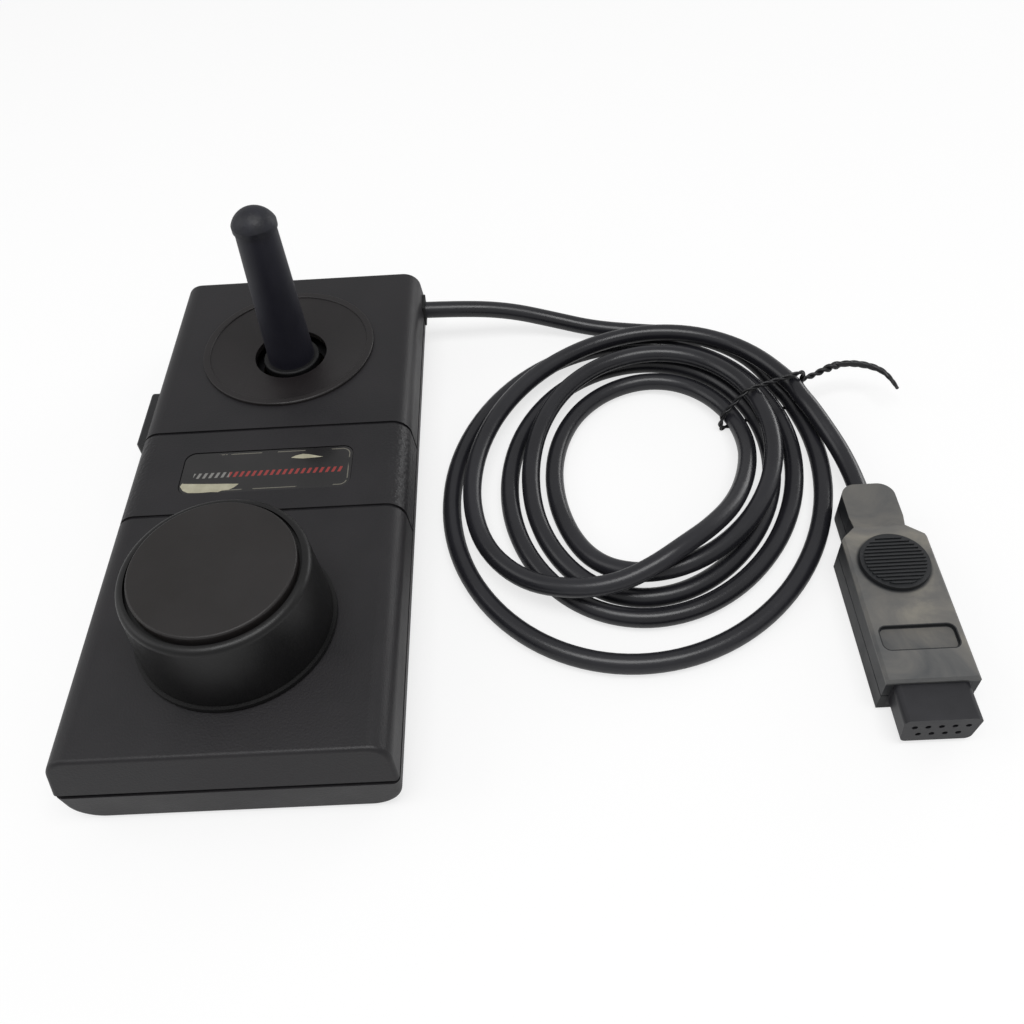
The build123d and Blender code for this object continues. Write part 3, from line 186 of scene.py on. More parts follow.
# %% Cable
start_direction = coil_frame(0)[1]
coil_start = Vector((134.352, 38.242, 3.8))
coil_end = Vector((137.6, 29.208, 9.3))
lead = [
    (35.4, 72.2, 11.5), (48.5, 72.2, 11.2), (61.0, 73.2, 8.6), (73.0, 72.4, 5.2), (85.0, 69.8, 3.0),
    (98.6, 67.4, 2.6), (113.1, 64.8, 2.9), (123.2, 58.4, 3.4),
    tuple(coil_start - start_direction * 12), tuple(coil_start),
]
tail = [
    tuple(coil_end), tuple(coil_end + start_direction * 6.5), (146.0, 6.5, 5.6), (146.0, -4.5, 5.6),
]


def smooth_curve(name, points, radii):
    """A curve object of one NURBS spline, in millimetres, with the bevel's radius at each point."""
    curve = bpy.data.curves.new(name, "CURVE")
    curve.dimensions = "3D"
    curve.bevel_depth = 1
    curve.bevel_resolution = 6
    curve.use_fill_caps = True
    spline = curve.splines.new("NURBS")
    spline.points.add(len(points) - 1)
    for point, place, radius in zip(spline.points, metres(points), radii):
        point.co = (*place, 1)
        point.radius = radius * mm
    spline.order_u = 3
    spline.use_endpoint_u = True
    spline.resolution_u = 6
    piece = bpy.data.objects.new(name, curve)
    bpy.context.scene.collection.objects.link(piece)
    return piece


cable_points = lead + turns + tail
cable = smooth_curve("coiled_cable", cable_points, [cable_diameter / 2] * len(cable_points))
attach(cable, "case")
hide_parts("cable_lead", "cable_coil", "cable_tail")
print("control points in the cable:", len(cable_points))

# %% [markdown]
# ## Materials
# Every finish is a tree of shader nodes. Helpers keep the trees short. The first turns the colour
# codes that people use on screens into the linear numbers that light needs. The second adds a node
# and, in the same call, sets it up and links it. The others build on these two.

# %% Helpers for materials


def colour(code):
    """Linear colour of an sRGB hex code."""
    shares = [int(code[i:i + 2], 16) / 255 for i in (1, 3, 5)]
    return (*[s / 12.92 if s <= 0.04045 else ((s + 0.055) / 1.055) ** 2.4 for s in shares], 1)


def put(tree, kind, inputs=(), **settings):
    """Adds a node, sets it up, and fills its inputs with values or with other nodes' outputs."""
    node = tree.nodes.new(kind)
    for name, value in settings.items():
        setattr(node, name, value)
    for socket, value in dict(inputs).items():
        if isinstance(value, bpy.types.NodeSocket):
            tree.links.new(value, node.inputs[socket])
        else:
            node.inputs[socket].default_value = value
    return node


def maths(tree, operation, first, second=0.0, third=0.0):
    """One step of arithmetic on values or on other nodes' outputs."""
    step = put(tree, "ShaderNodeMath", {0: first, 1: second, 2: third}, operation=operation)
    return step.outputs["Value"]


def new_material(name, **values):
    """A material with its shader, the place on the object, and constants on the shader itself."""
    material = bpy.data.materials.new(name)
    material.use_nodes = True
    tree = material.node_tree
    shader = tree.nodes["Principled BSDF"]
    for socket, value in values.items():
        shader.inputs[socket.replace("_", " ")].default_value = value
    place = put(tree, "ShaderNodeTexCoord").outputs["Object"]
    return material, tree, shader, place


def ramp(tree, value, *stops):
    """Colours at shares of a value."""
    node = put(tree, "ShaderNodeValToRGB", {"Fac": value})
    while len(node.color_ramp.elements) < len(stops):
        node.color_ramp.elements.new(1)
    for element, (share, code) in zip(node.color_ramp.elements, stops):
        element.position = share
        element.color = colour(code)
    return node.outputs["Color"]


def moulded(name, dark, light, cloud, grain, depth, rough, **values):
    """A moulded plastic: slow clouds between two tones, a fine grain, and roughness that follows."""
    material, tree, shader, place = new_material(name, **values)
    clouds = put(tree, "ShaderNodeTexNoise", {
        "Vector": place, "Scale": lumps(cloud), "Detail": 6, "Roughness": 0.6,
    }).outputs["Fac"]
    tree.links.new(ramp(tree, clouds, (0.32, dark), (0.68, light)), shader.inputs["Base Color"])
    fine = put(tree, "ShaderNodeTexNoise", {
        "Vector": place, "Scale": lumps(grain), "Detail": 3,
    }).outputs["Fac"]
    tree.links.new(put(tree, "ShaderNodeMapRange", {
        "Value": clouds, "From Min": 0.3, "From Max": 0.7,
        "To Min": rough - 0.06, "To Max": rough + 0.06,
    }).outputs["Result"], shader.inputs["Roughness"])
    bump = put(tree, "ShaderNodeBump", {"Height": fine, "Distance": depth * mm, "Strength": 1})
    tree.links.new(bump.outputs["Normal"], shader.inputs["Normal"])
    return material, tree, shader, place


def wear(material, *names):
    """Gives the material to solid parts of the model."""
    for name in names:
        slots = nodes[name].data.materials
        if slots:
            for index in range(len(slots)):
                slots[index] = material
        else:
            slots.append(material)
    print(material.name, "on", ", ".join(names))


# %% [markdown]
# ## The moulded case
# The two halves are black ABS, moulded in a spark-eroded steel tool, which leaves a fine even grain
# that scatters light and makes black look dark grey. The raised band in the middle had a coarser,
# pebbled pattern, and hands have polished the shoulders. Painting these by hand would not survive a
# change of shape, so the pattern reads the place on the object: the band is where y lies between
# its two grooves.

# %% Case
case_plastic, tree, shader, place = moulded(
    "moulded_abs_spark_grain", "#18171a", "#201e21", 24, 0.5, 0.05, 0.47, IOR=1.5)
axes = put(tree, "ShaderNodeSeparateXYZ", {"Vector": place})
band_middle, band_half_width = 0.4, 13.6
in_band = maths(tree, "COMPARE", axes.outputs["Y"], band_middle * mm, band_half_width * mm)
pebbles = put(tree, "ShaderNodeTexVoronoi", {"Vector": place, "Scale": lumps(0.8)}, feature="SMOOTH_F1")
worn_half_width, pebbled_from = 26, 32
unworn = put(tree, "ShaderNodeMapRange", {
    "Value": maths(tree, "ABSOLUTE", axes.outputs["X"]),
    "From Min": worn_half_width * mm, "From Max": pebbled_from * mm, "To Min": 0.12, "To Max": 1,
}, interpolation_type="SMOOTHSTEP")
pebble_share = maths(tree, "MULTIPLY", unworn.outputs["Result"], in_band)
old_bump = shader.inputs["Normal"].links[0].from_node
pebble_bump = put(tree, "ShaderNodeBump", {
    "Height": maths(tree, "MULTIPLY", pebbles.outputs["Distance"], pebble_share),
    "Distance": 0.15 * mm, "Normal": old_bump.outputs["Normal"],
}, invert=True)
tree.links.new(pebble_bump.outputs["Normal"], shader.inputs["Normal"])
wear(case_plastic, "top_shell", "bottom_shell")

# %% [markdown]
# ## Bezel, stick and button
# The ring round the stick was moulded from another batch of ABS, a little browner than the case. The
# stick is a softer, finer moulding with a cool tone. Its rounded tip is rougher, since thumbs have
# worn it, and gets a coarser grain.

# %% Bezel, stick and button
bezel_plastic = moulded(
    "moulded_abs_brown_black", "#191617", "#1f1b1c", 18, 0.4, 0.03, 0.45, IOR=1.5)[0]
wear(bezel_plastic, "joystick_bezel")
stick_plastic = moulded(
    "moulded_polypropylene_blue_black", "#191923", "#20202b", 14, 0.35, 0.02, 0.5, IOR=1.47)[0]
wear(stick_plastic, "stick_grip")
tip_plastic = moulded(
    "worn_polypropylene_tip", "#15161d", "#20212a", 3.2, 1.6, 0.16, 0.5, IOR=1.49)[0]
wear(tip_plastic, "stick_cap")
collar_plastic = moulded(
    "moulded_acetal_black", "#070709", "#0b0b0e", 9, 0.35, 0.02, 0.55, IOR=1.45)[0]
wear(collar_plastic, "stick_collar", "joystick_frame", "gimbal_ring")
button_plastic = moulded(
    "moulded_abs_button", "#151517", "#1c1c1f", 9, 0.4, 0.03, 0.4, IOR=1.53)[0]
wear(button_plastic, "fire_button")

# %% [markdown]
# ## The paddle knob
# The knob is glossy enough to show the soft lights as broad streaks down its side. Fine ribs run up
# the side for grip. They could be a bump in the material, but real ribs catch light at the edge of
# the knob too, and they follow a simple rule, so Geometry Nodes sets one rib and turns it round.

# %% Knob finish
knob_plastic = moulded(
    "moulded_abs_knob_satin", "#070708", "#0c0b0c", 16, 0.4, 0.02, 0.42, IOR=1.48)[0]
wear(knob_plastic, "paddle_knob")
knob_top_plastic = moulded(
    "moulded_abs_disc_matt", "#1d1a19", "#232020", 20, 0.45, 0.03, 0.47, IOR=1.5)[0]
wear(knob_top_plastic, "knob_cap")

# %% Ribs on the knob


def new_tree(name, **sizes):
    """A Geometry Nodes tree with a geometry input and output and named sizes."""
    tree = bpy.data.node_groups.new(name, "GeometryNodeTree")
    tree.interface.new_socket("Geometry", in_out="INPUT", socket_type="NodeSocketGeometry")
    for size, value in sizes.items():
        whole = isinstance(value, int)
        socket = tree.interface.new_socket(
            size, in_out="INPUT", socket_type="NodeSocketInt" if whole else "NodeSocketFloat")
        socket.default_value = value
    tree.interface.new_socket("Geometry", in_out="OUTPUT", socket_type="NodeSocketGeometry")
    return tree, put(tree, "NodeGroupInput").outputs


def finish_tree(tree, geometry, material):
    """Ends a tree: real geometry in place of instances, with its material."""
    real = put(tree, "GeometryNodeRealizeInstances", {"Geometry": geometry})
    finished = put(tree, "GeometryNodeSetMaterial", {
        "Geometry": real.outputs["Geometry"], "Material": material,
    })
    put(tree, "NodeGroupOutput", {"Geometry": finished.outputs["Geometry"]})


def grown(name, source, tree, **sizes):
    """Runs a tree on an object and returns its result as a plain mesh object."""
    if source.type == "CURVE":
        source.data.bevel_depth = 0
    modifier = source.modifiers.new(name, "NODES")
    modifier.node_group = tree
    for item in tree.interface.items_tree:
        if item.in_out == "INPUT" and item.name in sizes:
            modifier[item.identifier] = sizes[item.name]
    ready = source.evaluated_get(bpy.context.evaluated_depsgraph_get())
    mesh = bpy.data.meshes.new_from_object(ready)
    mesh.name = name
    piece = bpy.data.objects.new(name, mesh)
    bpy.context.scene.collection.objects.link(piece)
    bpy.data.objects.remove(source)
    print(name, "faces:", len(mesh.polygons))
    return piece


paddle_y = -45.0
rib_tree, size = new_tree("ribs_round_a_knob", Count=90, Rib=0.3 * mm, Low=20.42 * mm, High=19.32 * mm,
                          Bottom=23.6 * mm, Top=38.6 * mm)
foot = put(rib_tree, "ShaderNodeCombineXYZ", {"X": size["Low"], "Z": size["Bottom"]})
head = put(rib_tree, "ShaderNodeCombineXYZ", {"X": size["High"], "Z": size["Top"]})
line = put(rib_tree, "GeometryNodeCurvePrimitiveLine", {
    "Start": foot.outputs["Vector"], "End": head.outputs["Vector"],
})
round_profile = put(rib_tree, "GeometryNodeCurvePrimitiveCircle", {
    "Resolution": 8, "Radius": size["Rib"],
})
rib = put(rib_tree, "GeometryNodeCurveToMesh", {
    "Curve": line.outputs["Curve"], "Profile Curve": round_profile.outputs["Curve"], "Fill Caps": True,
})
middle = put(rib_tree, "GeometryNodePoints", {
    "Count": size["Count"], "Position": (0, paddle_y * mm, 0),
})
number = put(rib_tree, "GeometryNodeInputIndex")
share_of_turn = maths(rib_tree, "DIVIDE", 2 * math.pi, size["Count"])
turn = maths(rib_tree, "MULTIPLY", number.outputs["Index"], share_of_turn)
angles = put(rib_tree, "ShaderNodeCombineXYZ", {"Z": turn})
ribs = put(rib_tree, "GeometryNodeInstanceOnPoints", {
    "Points": middle.outputs["Geometry"], "Instance": rib.outputs["Mesh"],
    "Rotation": angles.outputs["Vector"],
})
finish_tree(rib_tree, ribs.outputs["Instances"], knob_plastic)
rib_seed = bpy.data.objects.new("rib_seed", bpy.data.meshes.new("rib_seed"))
bpy.context.scene.collection.objects.link(rib_seed)
knob_ribs = grown("knob_ribs", rib_seed, rib_tree)
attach(knob_ribs, "knob")

# %% [markdown]
# ## The label
# A thin glossy film with a pale border line and a line of print sits in a shallow recess. The words
# are left out: a row of small slanted bars stands in their place, grey and then red. The pattern is
# arithmetic on the place: a rounded box has a simple distance rule, and a stripe is a remainder.

# %% Label film
film, tree, shader, place = new_material("printed_polyester_film", IOR=1.57, Roughness=0.24)
shader.inputs["Coat Weight"].default_value = 0.35
shader.inputs["Coat Roughness"].default_value = 0.12
axes = put(tree, "ShaderNodeSeparateXYZ", {"Vector": place})


def from_inner_box(tree, axes, middle, half_length, half_width, corner):
    """Distance from the box inside a rounded one: at the rounded outline it is the corner's radius."""
    past = []
    for axis, centre, half in (("X", middle[0], half_length), ("Y", middle[1], half_width)):
        away = maths(tree, "ABSOLUTE", maths(tree, "SUBTRACT", axes.outputs[axis], centre * mm))
        past.append(maths(tree, "MAXIMUM", maths(tree, "SUBTRACT", away, (half - corner) * mm), 0))
    reach = put(tree, "ShaderNodeCombineXYZ", {"X": past[0], "Y": past[1]}).outputs["Vector"]
    return put(tree, "ShaderNodeVectorMath", {0: reach}, operation="LENGTH").outputs["Value"]


label_half_length, label_half_width, label_corner = 20.75, 6.7, 2.6
border_inset, border_half_width = 0.75, 0.13
distance = from_inner_box(tree, axes, (0, 0), label_half_length, label_half_width, label_corner)
border = maths(tree, "COMPARE", distance, (label_corner - border_inset) * mm, border_half_width * mm)
rubbed = put(tree, "ShaderNodeTexNoise", {
    "Vector": place, "Scale": lumps(7), "Detail": 4,
}).outputs["Fac"]
border = maths(tree, "MULTIPLY", border, maths(tree, "GREATER_THAN", rubbed, 0.5))
lean, bar_pitch, bar_share = 0.35, 1.5, 0.48
row_middle, row_half_length, row_half_height, red_from = (0.4, -0.9), 18.2, 0.85, -9.0
slant = maths(tree, "MULTIPLY_ADD", axes.outputs["Y"], -lean, axes.outputs["X"])
across_bar = maths(tree, "FRACT", maths(tree, "DIVIDE", slant, bar_pitch * mm))
bars = maths(tree, "LESS_THAN", across_bar, bar_share)
in_row = maths(tree, "COMPARE", axes.outputs["Y"], row_middle[1] * mm, row_half_height * mm)
in_length = maths(tree, "COMPARE", axes.outputs["X"], row_middle[0] * mm, row_half_length * mm)
bars = maths(tree, "MULTIPLY", maths(tree, "MULTIPLY", bars, in_row), in_length)
red = maths(tree, "GREATER_THAN", axes.outputs["X"], red_from * mm)
ink = put(tree, "ShaderNodeMix", {
    "Factor": red, "A": colour("#83827f"), "B": colour("#96312f"),
}, data_type="RGBA")
ground = ramp(tree, rubbed, (0.35, "#151415"), (0.7, "#1e1c1d"))
inked = put(tree, "ShaderNodeMix", {
    "Factor": bars, "A": ground, "B": ink.outputs["Result"],
}, data_type="RGBA")
lined = put(tree, "ShaderNodeMix", {
    "Factor": border, "A": inked.outputs["Result"], "B": colour("#6f6c62"),
}, data_type="RGBA")
tree.links.new(lined.outputs["Result"], shader.inputs["Base Color"])
wear(film, "label_plate")

# %% [markdown]
# The film is chipped in two places, where its cream backing shows: a long flake at the near left
# corner and a small one on the far edge. Each flake is a flat, uneven sheet of mesh that lies on the
# film, because its outline is a shape of its own and not a pattern.

# %% Chips in the film
backing = moulded("paper_backing_cream", "#a5a18b", "#bdb9a3", 2.5, 0.4, 0.02, 0.8, IOR=1.45)[0]
label_top = 21.8
flake_thickness = 0.03
flakes = (
    ((-20.5, -4.1), (-19.6, -5.5), (-18.2, -6.3), (-15.5, -6.45), (-12.6, -6.35), (-10.9, -6.5),
     (-9.9, -6.0), (-8.4, -5.9), (-7.2, -5.2), (-6.2, -4.1), (-9.5, -3.9), (-13.5, -3.7),
     (-17.2, -3.45), (-20.2, -3.2)),
    ((5.5, 3.7), (6.7, 4.35), (8.4, 4.8), (10.1, 4.5), (12.0, 3.9), (13.5, 3.5), (11.2, 3.35),
     (8.6, 3.2), (7.0, 3.4)),
)
chips = bmesh.new()
for flake in flakes:
    face = chips.faces.new([chips.verts.new((x * mm, y * mm, label_top * mm)) for x, y in flake])
    raised = bmesh.ops.extrude_face_region(chips, geom=[face])
    for corner_point in raised["geom"]:
        if isinstance(corner_point, bmesh.types.BMVert):
            corner_point.co.z += flake_thickness * mm
bmesh.ops.recalc_face_normals(chips, faces=chips.faces)
chip_mesh = bpy.data.meshes.new("label_chips")
chips.to_mesh(chip_mesh)
chips.free()
chip_mesh.materials.append(backing)
label_chips = bpy.data.objects.new("label_chips", chip_mesh)
bpy.context.scene.collection.objects.link(label_chips)
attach(label_chips, "case")
print("flakes:", len(flakes))

# %% [markdown]
# ## Cable, grommet and tie
# The cable jacket is soft black PVC, smooth from the die it was drawn through, so each turn shows a
# thin bright line. The grommet is rubber. The tie is a wire in black plastic, wound round the bundle
# and twisted on itself: two strands that follow one path, half a turn apart, which is a job for
# Geometry Nodes because the twist is one rule along a curve.

# %% Cable and grommet finish
jacket = moulded("extruded_pvc_jacket", "#1c1c20", "#26262b", 30, 1.2, 0.02, 0.29, IOR=1.53)[0]
cable.data.materials.append(jacket)
wear(jacket, "cable_inner")
rubber = moulded("moulded_rubber_black", "#141414", "#1d1d1d", 6, 0.4, 0.03, 0.6, IOR=1.52)[0]
wear(rubber, "cable_grommet")

# %% Twist tie
tie_plastic = moulded("tie_plastic_coat", "#101012", "#19191c", 5, 0.5, 0.02, 0.38, IOR=1.5)[0]
tie_place = Vector((coil_centre[0], coil_centre[1], 0)) + coil_frame(0)[0]
tie_inward = coil_frame(0)[2]


def tie_point(offset, height):
    """Point of the tie in the upright plane across the bundle."""
    return tuple(tie_place + tie_inward * offset + Vector((0, 0, height)))


band_corners = [
    (-3.25, 9.8), (-3.45, 8.6), (-3.5, 4.5), (-3.3, 0.62), (-1.5, 0.6), (3.0, 0.6), (9.0, 0.6),
    (15.0, 0.6), (19.0, 0.6), (20.7, 0.62), (20.6, 4.0), (20.4, 6.2), (18.9, 7.2),
    (14.6, 11.9), (12.9, 12.6), (8.0, 12.6), (2.0, 12.6), (-2.0, 12.6), (-3.2, 12.5), (-3.5, 11.2),
    (-3.25, 9.8),
]
strand_tree, size = new_tree("two_strands_on_a_path", Turns=9.0, Steps=220, Join=0.3, Joined=0.2)
route = put(strand_tree, "GeometryNodeResampleCurve", {
    "Curve": size["Geometry"], "Count": size["Steps"],
})
share = put(strand_tree, "GeometryNodeSplineParameter").outputs["Factor"]
turns_so_far = maths(strand_tree, "MULTIPLY", share, size["Turns"])
turned = maths(strand_tree, "MULTIPLY", turns_so_far, 2 * math.pi)
thickness = put(strand_tree, "GeometryNodeInputRadius").outputs["Radius"]
apart_share = put(strand_tree, "ShaderNodeMapRange", {
    "Value": share, "From Min": size["Join"], "From Max": maths(strand_tree, "ADD", size["Join"], 0.12),
    "To Min": 0.95, "To Max": size["Joined"],
}, interpolation_type="SMOOTHSTEP").outputs["Result"]
apart = maths(strand_tree, "MULTIPLY", apart_share, thickness)
spin = put(strand_tree, "ShaderNodeVectorRotate", {
    "Vector": put(strand_tree, "GeometryNodeInputNormal").outputs["Normal"],
    "Axis": put(strand_tree, "GeometryNodeInputTangent").outputs["Tangent"],
    "Angle": turned,
}, rotation_type="AXIS_ANGLE")
strands = put(strand_tree, "GeometryNodeJoinGeometry")
circle = put(strand_tree, "GeometryNodeCurvePrimitiveCircle", {"Resolution": 12, "Radius": 1})
for side in (1, -1):
    sideways = put(strand_tree, "ShaderNodeVectorMath", {
        0: spin.outputs["Vector"], "Scale": maths(strand_tree, "MULTIPLY", apart, side),
    }, operation="SCALE")
    strand = put(strand_tree, "GeometryNodeSetPosition", {
        "Geometry": route.outputs["Curve"], "Offset": sideways.outputs["Vector"],
    })
    wire = put(strand_tree, "GeometryNodeCurveToMesh", {
        "Curve": strand.outputs["Geometry"], "Profile Curve": circle.outputs["Curve"],
        "Scale": thickness, "Fill Caps": True,
    })
    strand_tree.links.new(wire.outputs["Mesh"], strands.inputs["Geometry"])
finish_tree(strand_tree, strands.outputs["Geometry"], tie_plastic)

band_path = smooth_curve("band_path", [tie_point(*corner_point) for corner_point in band_corners],
                         [0.36] * len(band_corners))
tie_band = grown("tie_band", band_path, strand_tree, Turns=11.0, Steps=500, Join=2.0)
end_route = [
    tie_point(-3.1, 9.8), tie_point(-7.0, 9.9), tie_point(-10.2, 10.9), (151.5, 39.4, 11.0),
    (159.0, 38.9, 9.8), (163.2, 35.8, 9.0), (164.2, 30.8, 8.4),
]
end_path = smooth_curve("end_path", end_route, [0.42, 0.42, 0.52, 0.8, 0.8, 0.58, 0.42])
tie_end = grown("tie_end", end_path, strand_tree, Turns=6.0)
for piece in (tie_band, tie_end):
    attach(piece, "case")
    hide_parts("twist_tie")

# %% [markdown]
# ## The plug
# The plug is moulded in a soft dark PVC that has bloomed: plasticiser has come to its surface and left
# smoky, pale olive patches on the broad face. The patches are kept to the broad face by its height, so
# the walls are plain dark. The thumb pad is dark all over, which is painted shade on its walls, and a
# thin dark line round the edge of the sunk slot is painted shade where its wall drops into the recess.
# A slow noise makes the clouds, and the height and the distances from pad and slot say where they
# show. The nose is a harder, darker plastic that stayed clean.

# %% Plug finish
# Pale bloom patches are the plug's own colour; the dark pad and the line round the slot are painted
# shade.
bloom_and_painted_shade, tree, shader, place = new_material("moulded_pvc_bloomed_painted_shade", IOR=1.53)
slow = put(tree, "ShaderNodeTexNoise", {
    "Vector": place, "Scale": lumps(16), "Detail": 5, "Roughness": 0.58, "Distortion": 0.6,
}).outputs["Fac"]
clouds = ramp(tree, slow, (0.3, "#4c4e50"), (0.44, "#60605f"), (0.56, "#6f6d69"), (0.7, "#878379"))
axes = put(tree, "ShaderNodeSeparateXYZ", {"Vector": place})
broad_face = put(tree, "ShaderNodeMapRange", {
    "Value": axes.outputs["Z"], "From Min": 9.7 * mm, "From Max": 10.5 * mm,
}, interpolation_type="SMOOTHSTEP").outputs["Result"]
plug_x, pad_y, slot_y = 146.0, -29.8, -49.7
flat = put(tree, "ShaderNodeVectorMath", {0: place, 1: (1, 1, 0)}, operation="MULTIPLY")
pad_reach = put(tree, "ShaderNodeVectorMath", {
    0: flat.outputs["Vector"], 1: (plug_x * mm, pad_y * mm, 0),
}, operation="DISTANCE").outputs["Value"]
# Inside the thumb pad the colour stays dark: painted shade on the pad's walls, and dark over its top
# too.
off_pad = put(tree, "ShaderNodeMapRange", {
    "Value": pad_reach, "From Min": 7.9 * mm, "From Max": 8.7 * mm,
}, interpolation_type="SMOOTHSTEP").outputs["Result"]
slot_half_length, slot_half_width, slot_corner, shade_line_half_width = 8.2, 3.0, 1.6, 0.25
distance = from_inner_box(tree, axes, (plug_x, slot_y), slot_half_length, slot_half_width, slot_corner)
# A thin dark line round the sunk slot's edge is painted shade, where the slot's wall drops into the
# recess.
slot_edge_painted_shade = maths(tree, "COMPARE", distance, slot_corner * mm, shade_line_half_width * mm)
bloomed = maths(tree, "MULTIPLY", broad_face, off_pad)
bloomed = maths(tree, "MULTIPLY", bloomed, maths(tree, "SUBTRACT", 1, slot_edge_painted_shade))
tree.links.new(put(tree, "ShaderNodeMix", {
    "Factor": bloomed, "A": colour("#191b1e"), "B": clouds,
}, data_type="RGBA").outputs["Result"], shader.inputs["Base Color"])
tree.links.new(put(tree, "ShaderNodeMapRange", {
    "Value": slow, "From Min": 0.3, "From Max": 0.7, "To Min": 0.4, "To Max": 0.58,
}).outputs["Result"], shader.inputs["Roughness"])
fine = put(tree, "ShaderNodeTexNoise", {
    "Vector": place, "Scale": lumps(0.5), "Detail": 3,
}).outputs["Fac"]
tree.links.new(put(tree, "ShaderNodeBump", {
    "Height": fine, "Distance": 0.03 * mm,
}).outputs["Normal"], shader.inputs["Normal"])
wear(bloom_and_painted_shade, "plug_upper_housing", "plug_lower_housing")
nose_plastic = moulded("moulded_nylon_nose", "#1c1c20", "#25252a", 12, 0.4, 0.02, 0.45, IOR=1.53)[0]
wear(nose_plastic, "plug_nose")

# %% [markdown]
# ## Inside the case
# What the case hides is finished too, because parts of it show through the openings and in an
# exploded view. Metals have no colour of their own below the surface: their base colour is the tint
# of what they mirror, and drawn or pressed metal is told by fine streaks along one direction.

# %% Metals


def metal(name, dark, light, streak, rough):
    """A worked metal: fine streaks across two tones."""
    material, tree, shader, place = new_material(name, Metallic=1)
    stretched = put(tree, "ShaderNodeMapping", {"Vector": place, "Scale": (1, 12, 1)})
    streaks = put(tree, "ShaderNodeTexNoise", {
        "Vector": stretched.outputs["Vector"], "Scale": lumps(streak), "Detail": 4,
    }).outputs["Fac"]
    tree.links.new(ramp(tree, streaks, (0.3, dark), (0.7, light)), shader.inputs["Base Color"])
    tree.links.new(put(tree, "ShaderNodeMapRange", {
        "Value": streaks, "From Min": 0.3, "From Max": 0.7,
        "To Min": rough - 0.08, "To Max": rough + 0.08,
    }).outputs["Result"], shader.inputs["Roughness"])
    return material


steel = metal("zinc_plated_steel", "#9a9b9c", "#b9babb", 4, 0.34)
wear(steel, "case_screws", "board_screws", "retaining_clip", "pot_washer", "pot_nut")
spring_steel = metal("drawn_spring_steel", "#8b8c8f", "#a9aaad", 2, 0.26)
wear(spring_steel, "centring_spring")
aluminium = metal("turned_aluminium", "#b4b5b7", "#cfd0d1", 2, 0.32)
wear(aluminium, "pot_shaft")
brass = metal("stamped_brass", "#b08d4a", "#cda863", 2, 0.28)
wear(brass, "direction_contacts", "fire_contact", "pot_terminals", "plug_contacts")

# %% Board, potentiometer and wires
shaft_plastic = moulded("moulded_nylon_natural", "#c9c5b4", "#d8d5c6", 8, 0.4, 0.02, 0.42, IOR=1.53)[0]
wear(shaft_plastic, "stick_shaft")
can = moulded("moulded_phenolic_brown", "#3a2518", "#4a3020", 6, 0.4, 0.02, 0.4, IOR=1.6)[0]
wear(can, "pot_body")
header_plastic = moulded("moulded_nylon_white", "#cfcec8", "#dedcd6", 6, 0.4, 0.02, 0.42, IOR=1.53)[0]
wear(header_plastic, "wire_header")
laminate = moulded("phenolic_paper_laminate", "#8a6a35", "#9d7a3f", 3, 0.3, 0.01, 0.45, IOR=1.5)[0]
wear(laminate, "circuit_board")
insulation, tree, shader, place = new_material("extruded_pvc_insulation", IOR=1.53, Roughness=0.38)
which = put(tree, "ShaderNodeTexNoise", {"Vector": place, "Scale": lumps(9)}).outputs["Fac"]
tree.links.new(ramp(
    tree, which, (0.35, "#8f2a24"), (0.45, "#b98b2a"), (0.52, "#2c5a86"), (0.6, "#c9c8c2"),
), shader.inputs["Base Color"])
wear(insulation, "inner_wires", "paddle_wires")

# %% [markdown]
# ## Floor and light
# The object lies on a plain white table under soft studio light. A broad lamp gives the light from
# above the viewer, where the glossy top cannot mirror it, one on the right draws the bright line down
# the shoulders, and the world fills the shadows. Floor and world are brighter to the camera and, a
# little, in what the object mirrors, so they are near white and need no more light than the object.

# %% Floor


def looked_at_share(tree, camera_share):
    """Share of the background's own glow that a ray finds: the camera's, and less for mirrored rays."""
    mirrored_share = 0.15
    seen = put(tree, "ShaderNodeLightPath").outputs
    mirrored = maths(tree, "MAXIMUM", seen["Is Glossy Ray"], seen["Is Transmission Ray"])
    seen_directly = maths(tree, "MULTIPLY", seen["Is Camera Ray"], camera_share)
    return maths(tree, "MAXIMUM", seen_directly, maths(tree, "MULTIPLY", mirrored, mirrored_share))


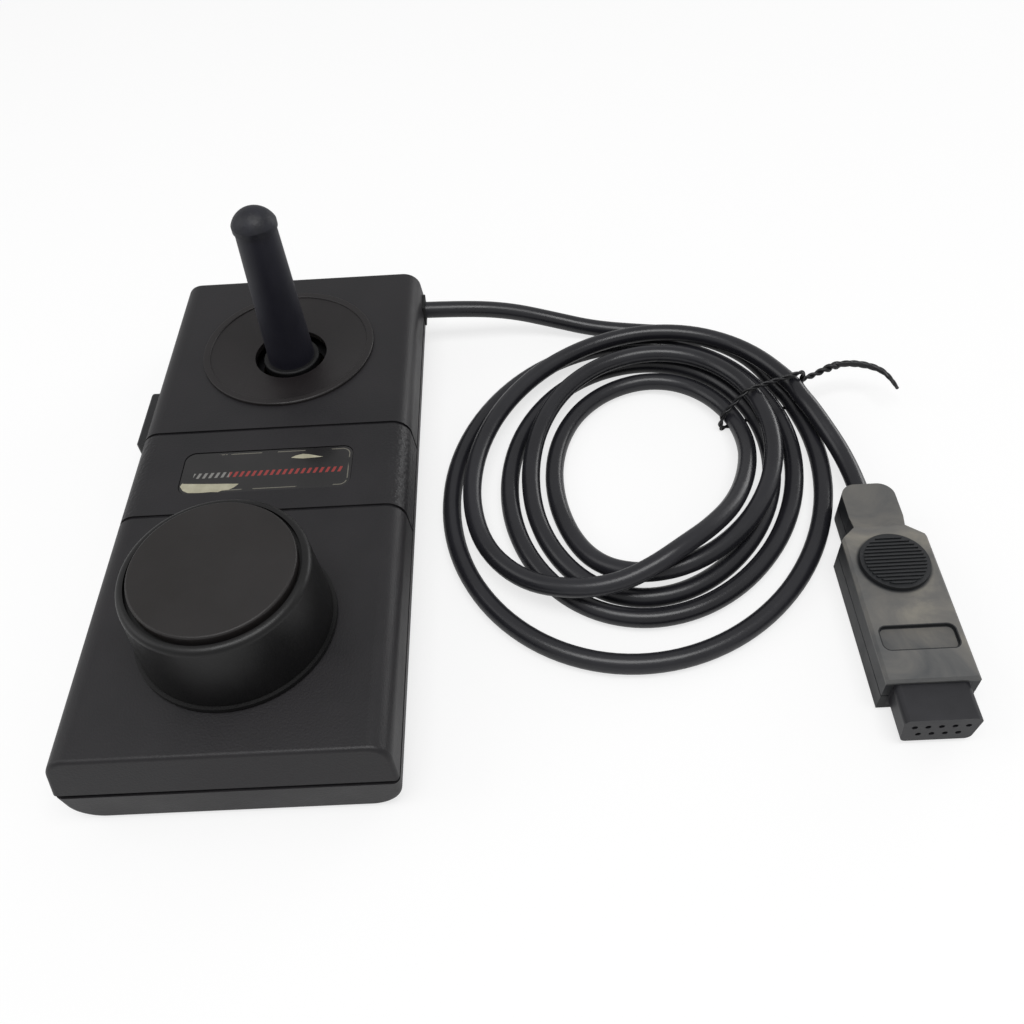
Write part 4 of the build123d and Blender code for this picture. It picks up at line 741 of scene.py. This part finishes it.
floor_mesh = bpy.data.meshes.new("floor")
floor_mesh.from_pydata([(-3, -3, 0), (3, -3, 0), (3, 3, 0), (-3, 3, 0)], [], [(0, 1, 2, 3)])
floor = bpy.data.objects.new("floor", floor_mesh)
floor.location = (0, 0, -0.0001)
bpy.context.scene.collection.objects.link(floor)
table, tree, shader, place = new_material("painted_table_white", Roughness=0.9)
shader.inputs["Base Color"].default_value = colour("#d6d6d6")
shader.inputs["Specular IOR Level"].default_value = 0.1
glow = put(tree, "ShaderNodeEmission", {"Color": (1, 1, 1, 1), "Strength": 1.42})
blend = put(tree, "ShaderNodeMixShader", {
    0: looked_at_share(tree, 0.5), 1: shader.outputs["BSDF"], 2: glow.outputs["Emission"],
})
tree.links.new(blend.outputs["Shader"], tree.nodes["Material Output"].inputs["Surface"])
floor_mesh.materials.append(table)

# %% Lamps and world


def lamp(name, place, aim, width, height, power):
    """A soft rectangular lamp that looks at a point."""
    data = bpy.data.lights.new(name, "AREA")
    data.shape = "RECTANGLE"
    data.size = width
    data.size_y = height
    data.energy = power
    lit = bpy.data.objects.new(name, data)
    lit.location = place
    lit.rotation_euler = (Vector(aim) - Vector(place)).to_track_quat("-Z", "Y").to_euler()
    bpy.context.scene.collection.objects.link(lit)


middle_point = (0.06, 0.0, 0.01)
lamp("lamp_overhead", (0.1, -0.22, 0.95), middle_point, 0.8, 0.4, 4.6)
lamp("lamp_right", (0.8, 0.6, 0.22), middle_point, 0.5, 0.3, 1.3)
lamp("lamp_left", (-0.8, 0.0, 0.6), middle_point, 0.6, 0.6, 1.2)
world = bpy.data.worlds.new("studio")
world.use_nodes = True
bpy.context.scene.world = world
tree = world.node_tree
tree.nodes["Background"].inputs["Color"].default_value = (1, 1, 1, 1)
world_light = 0.36
glow = maths(tree, "MULTIPLY_ADD", looked_at_share(tree, 1), 1 - world_light, world_light)
tree.links.new(glow, tree.nodes["Background"].inputs["Strength"])
bpy.context.scene.view_settings.view_transform = "Standard"

# %% Update the scene
bpy.context.view_layer.update()
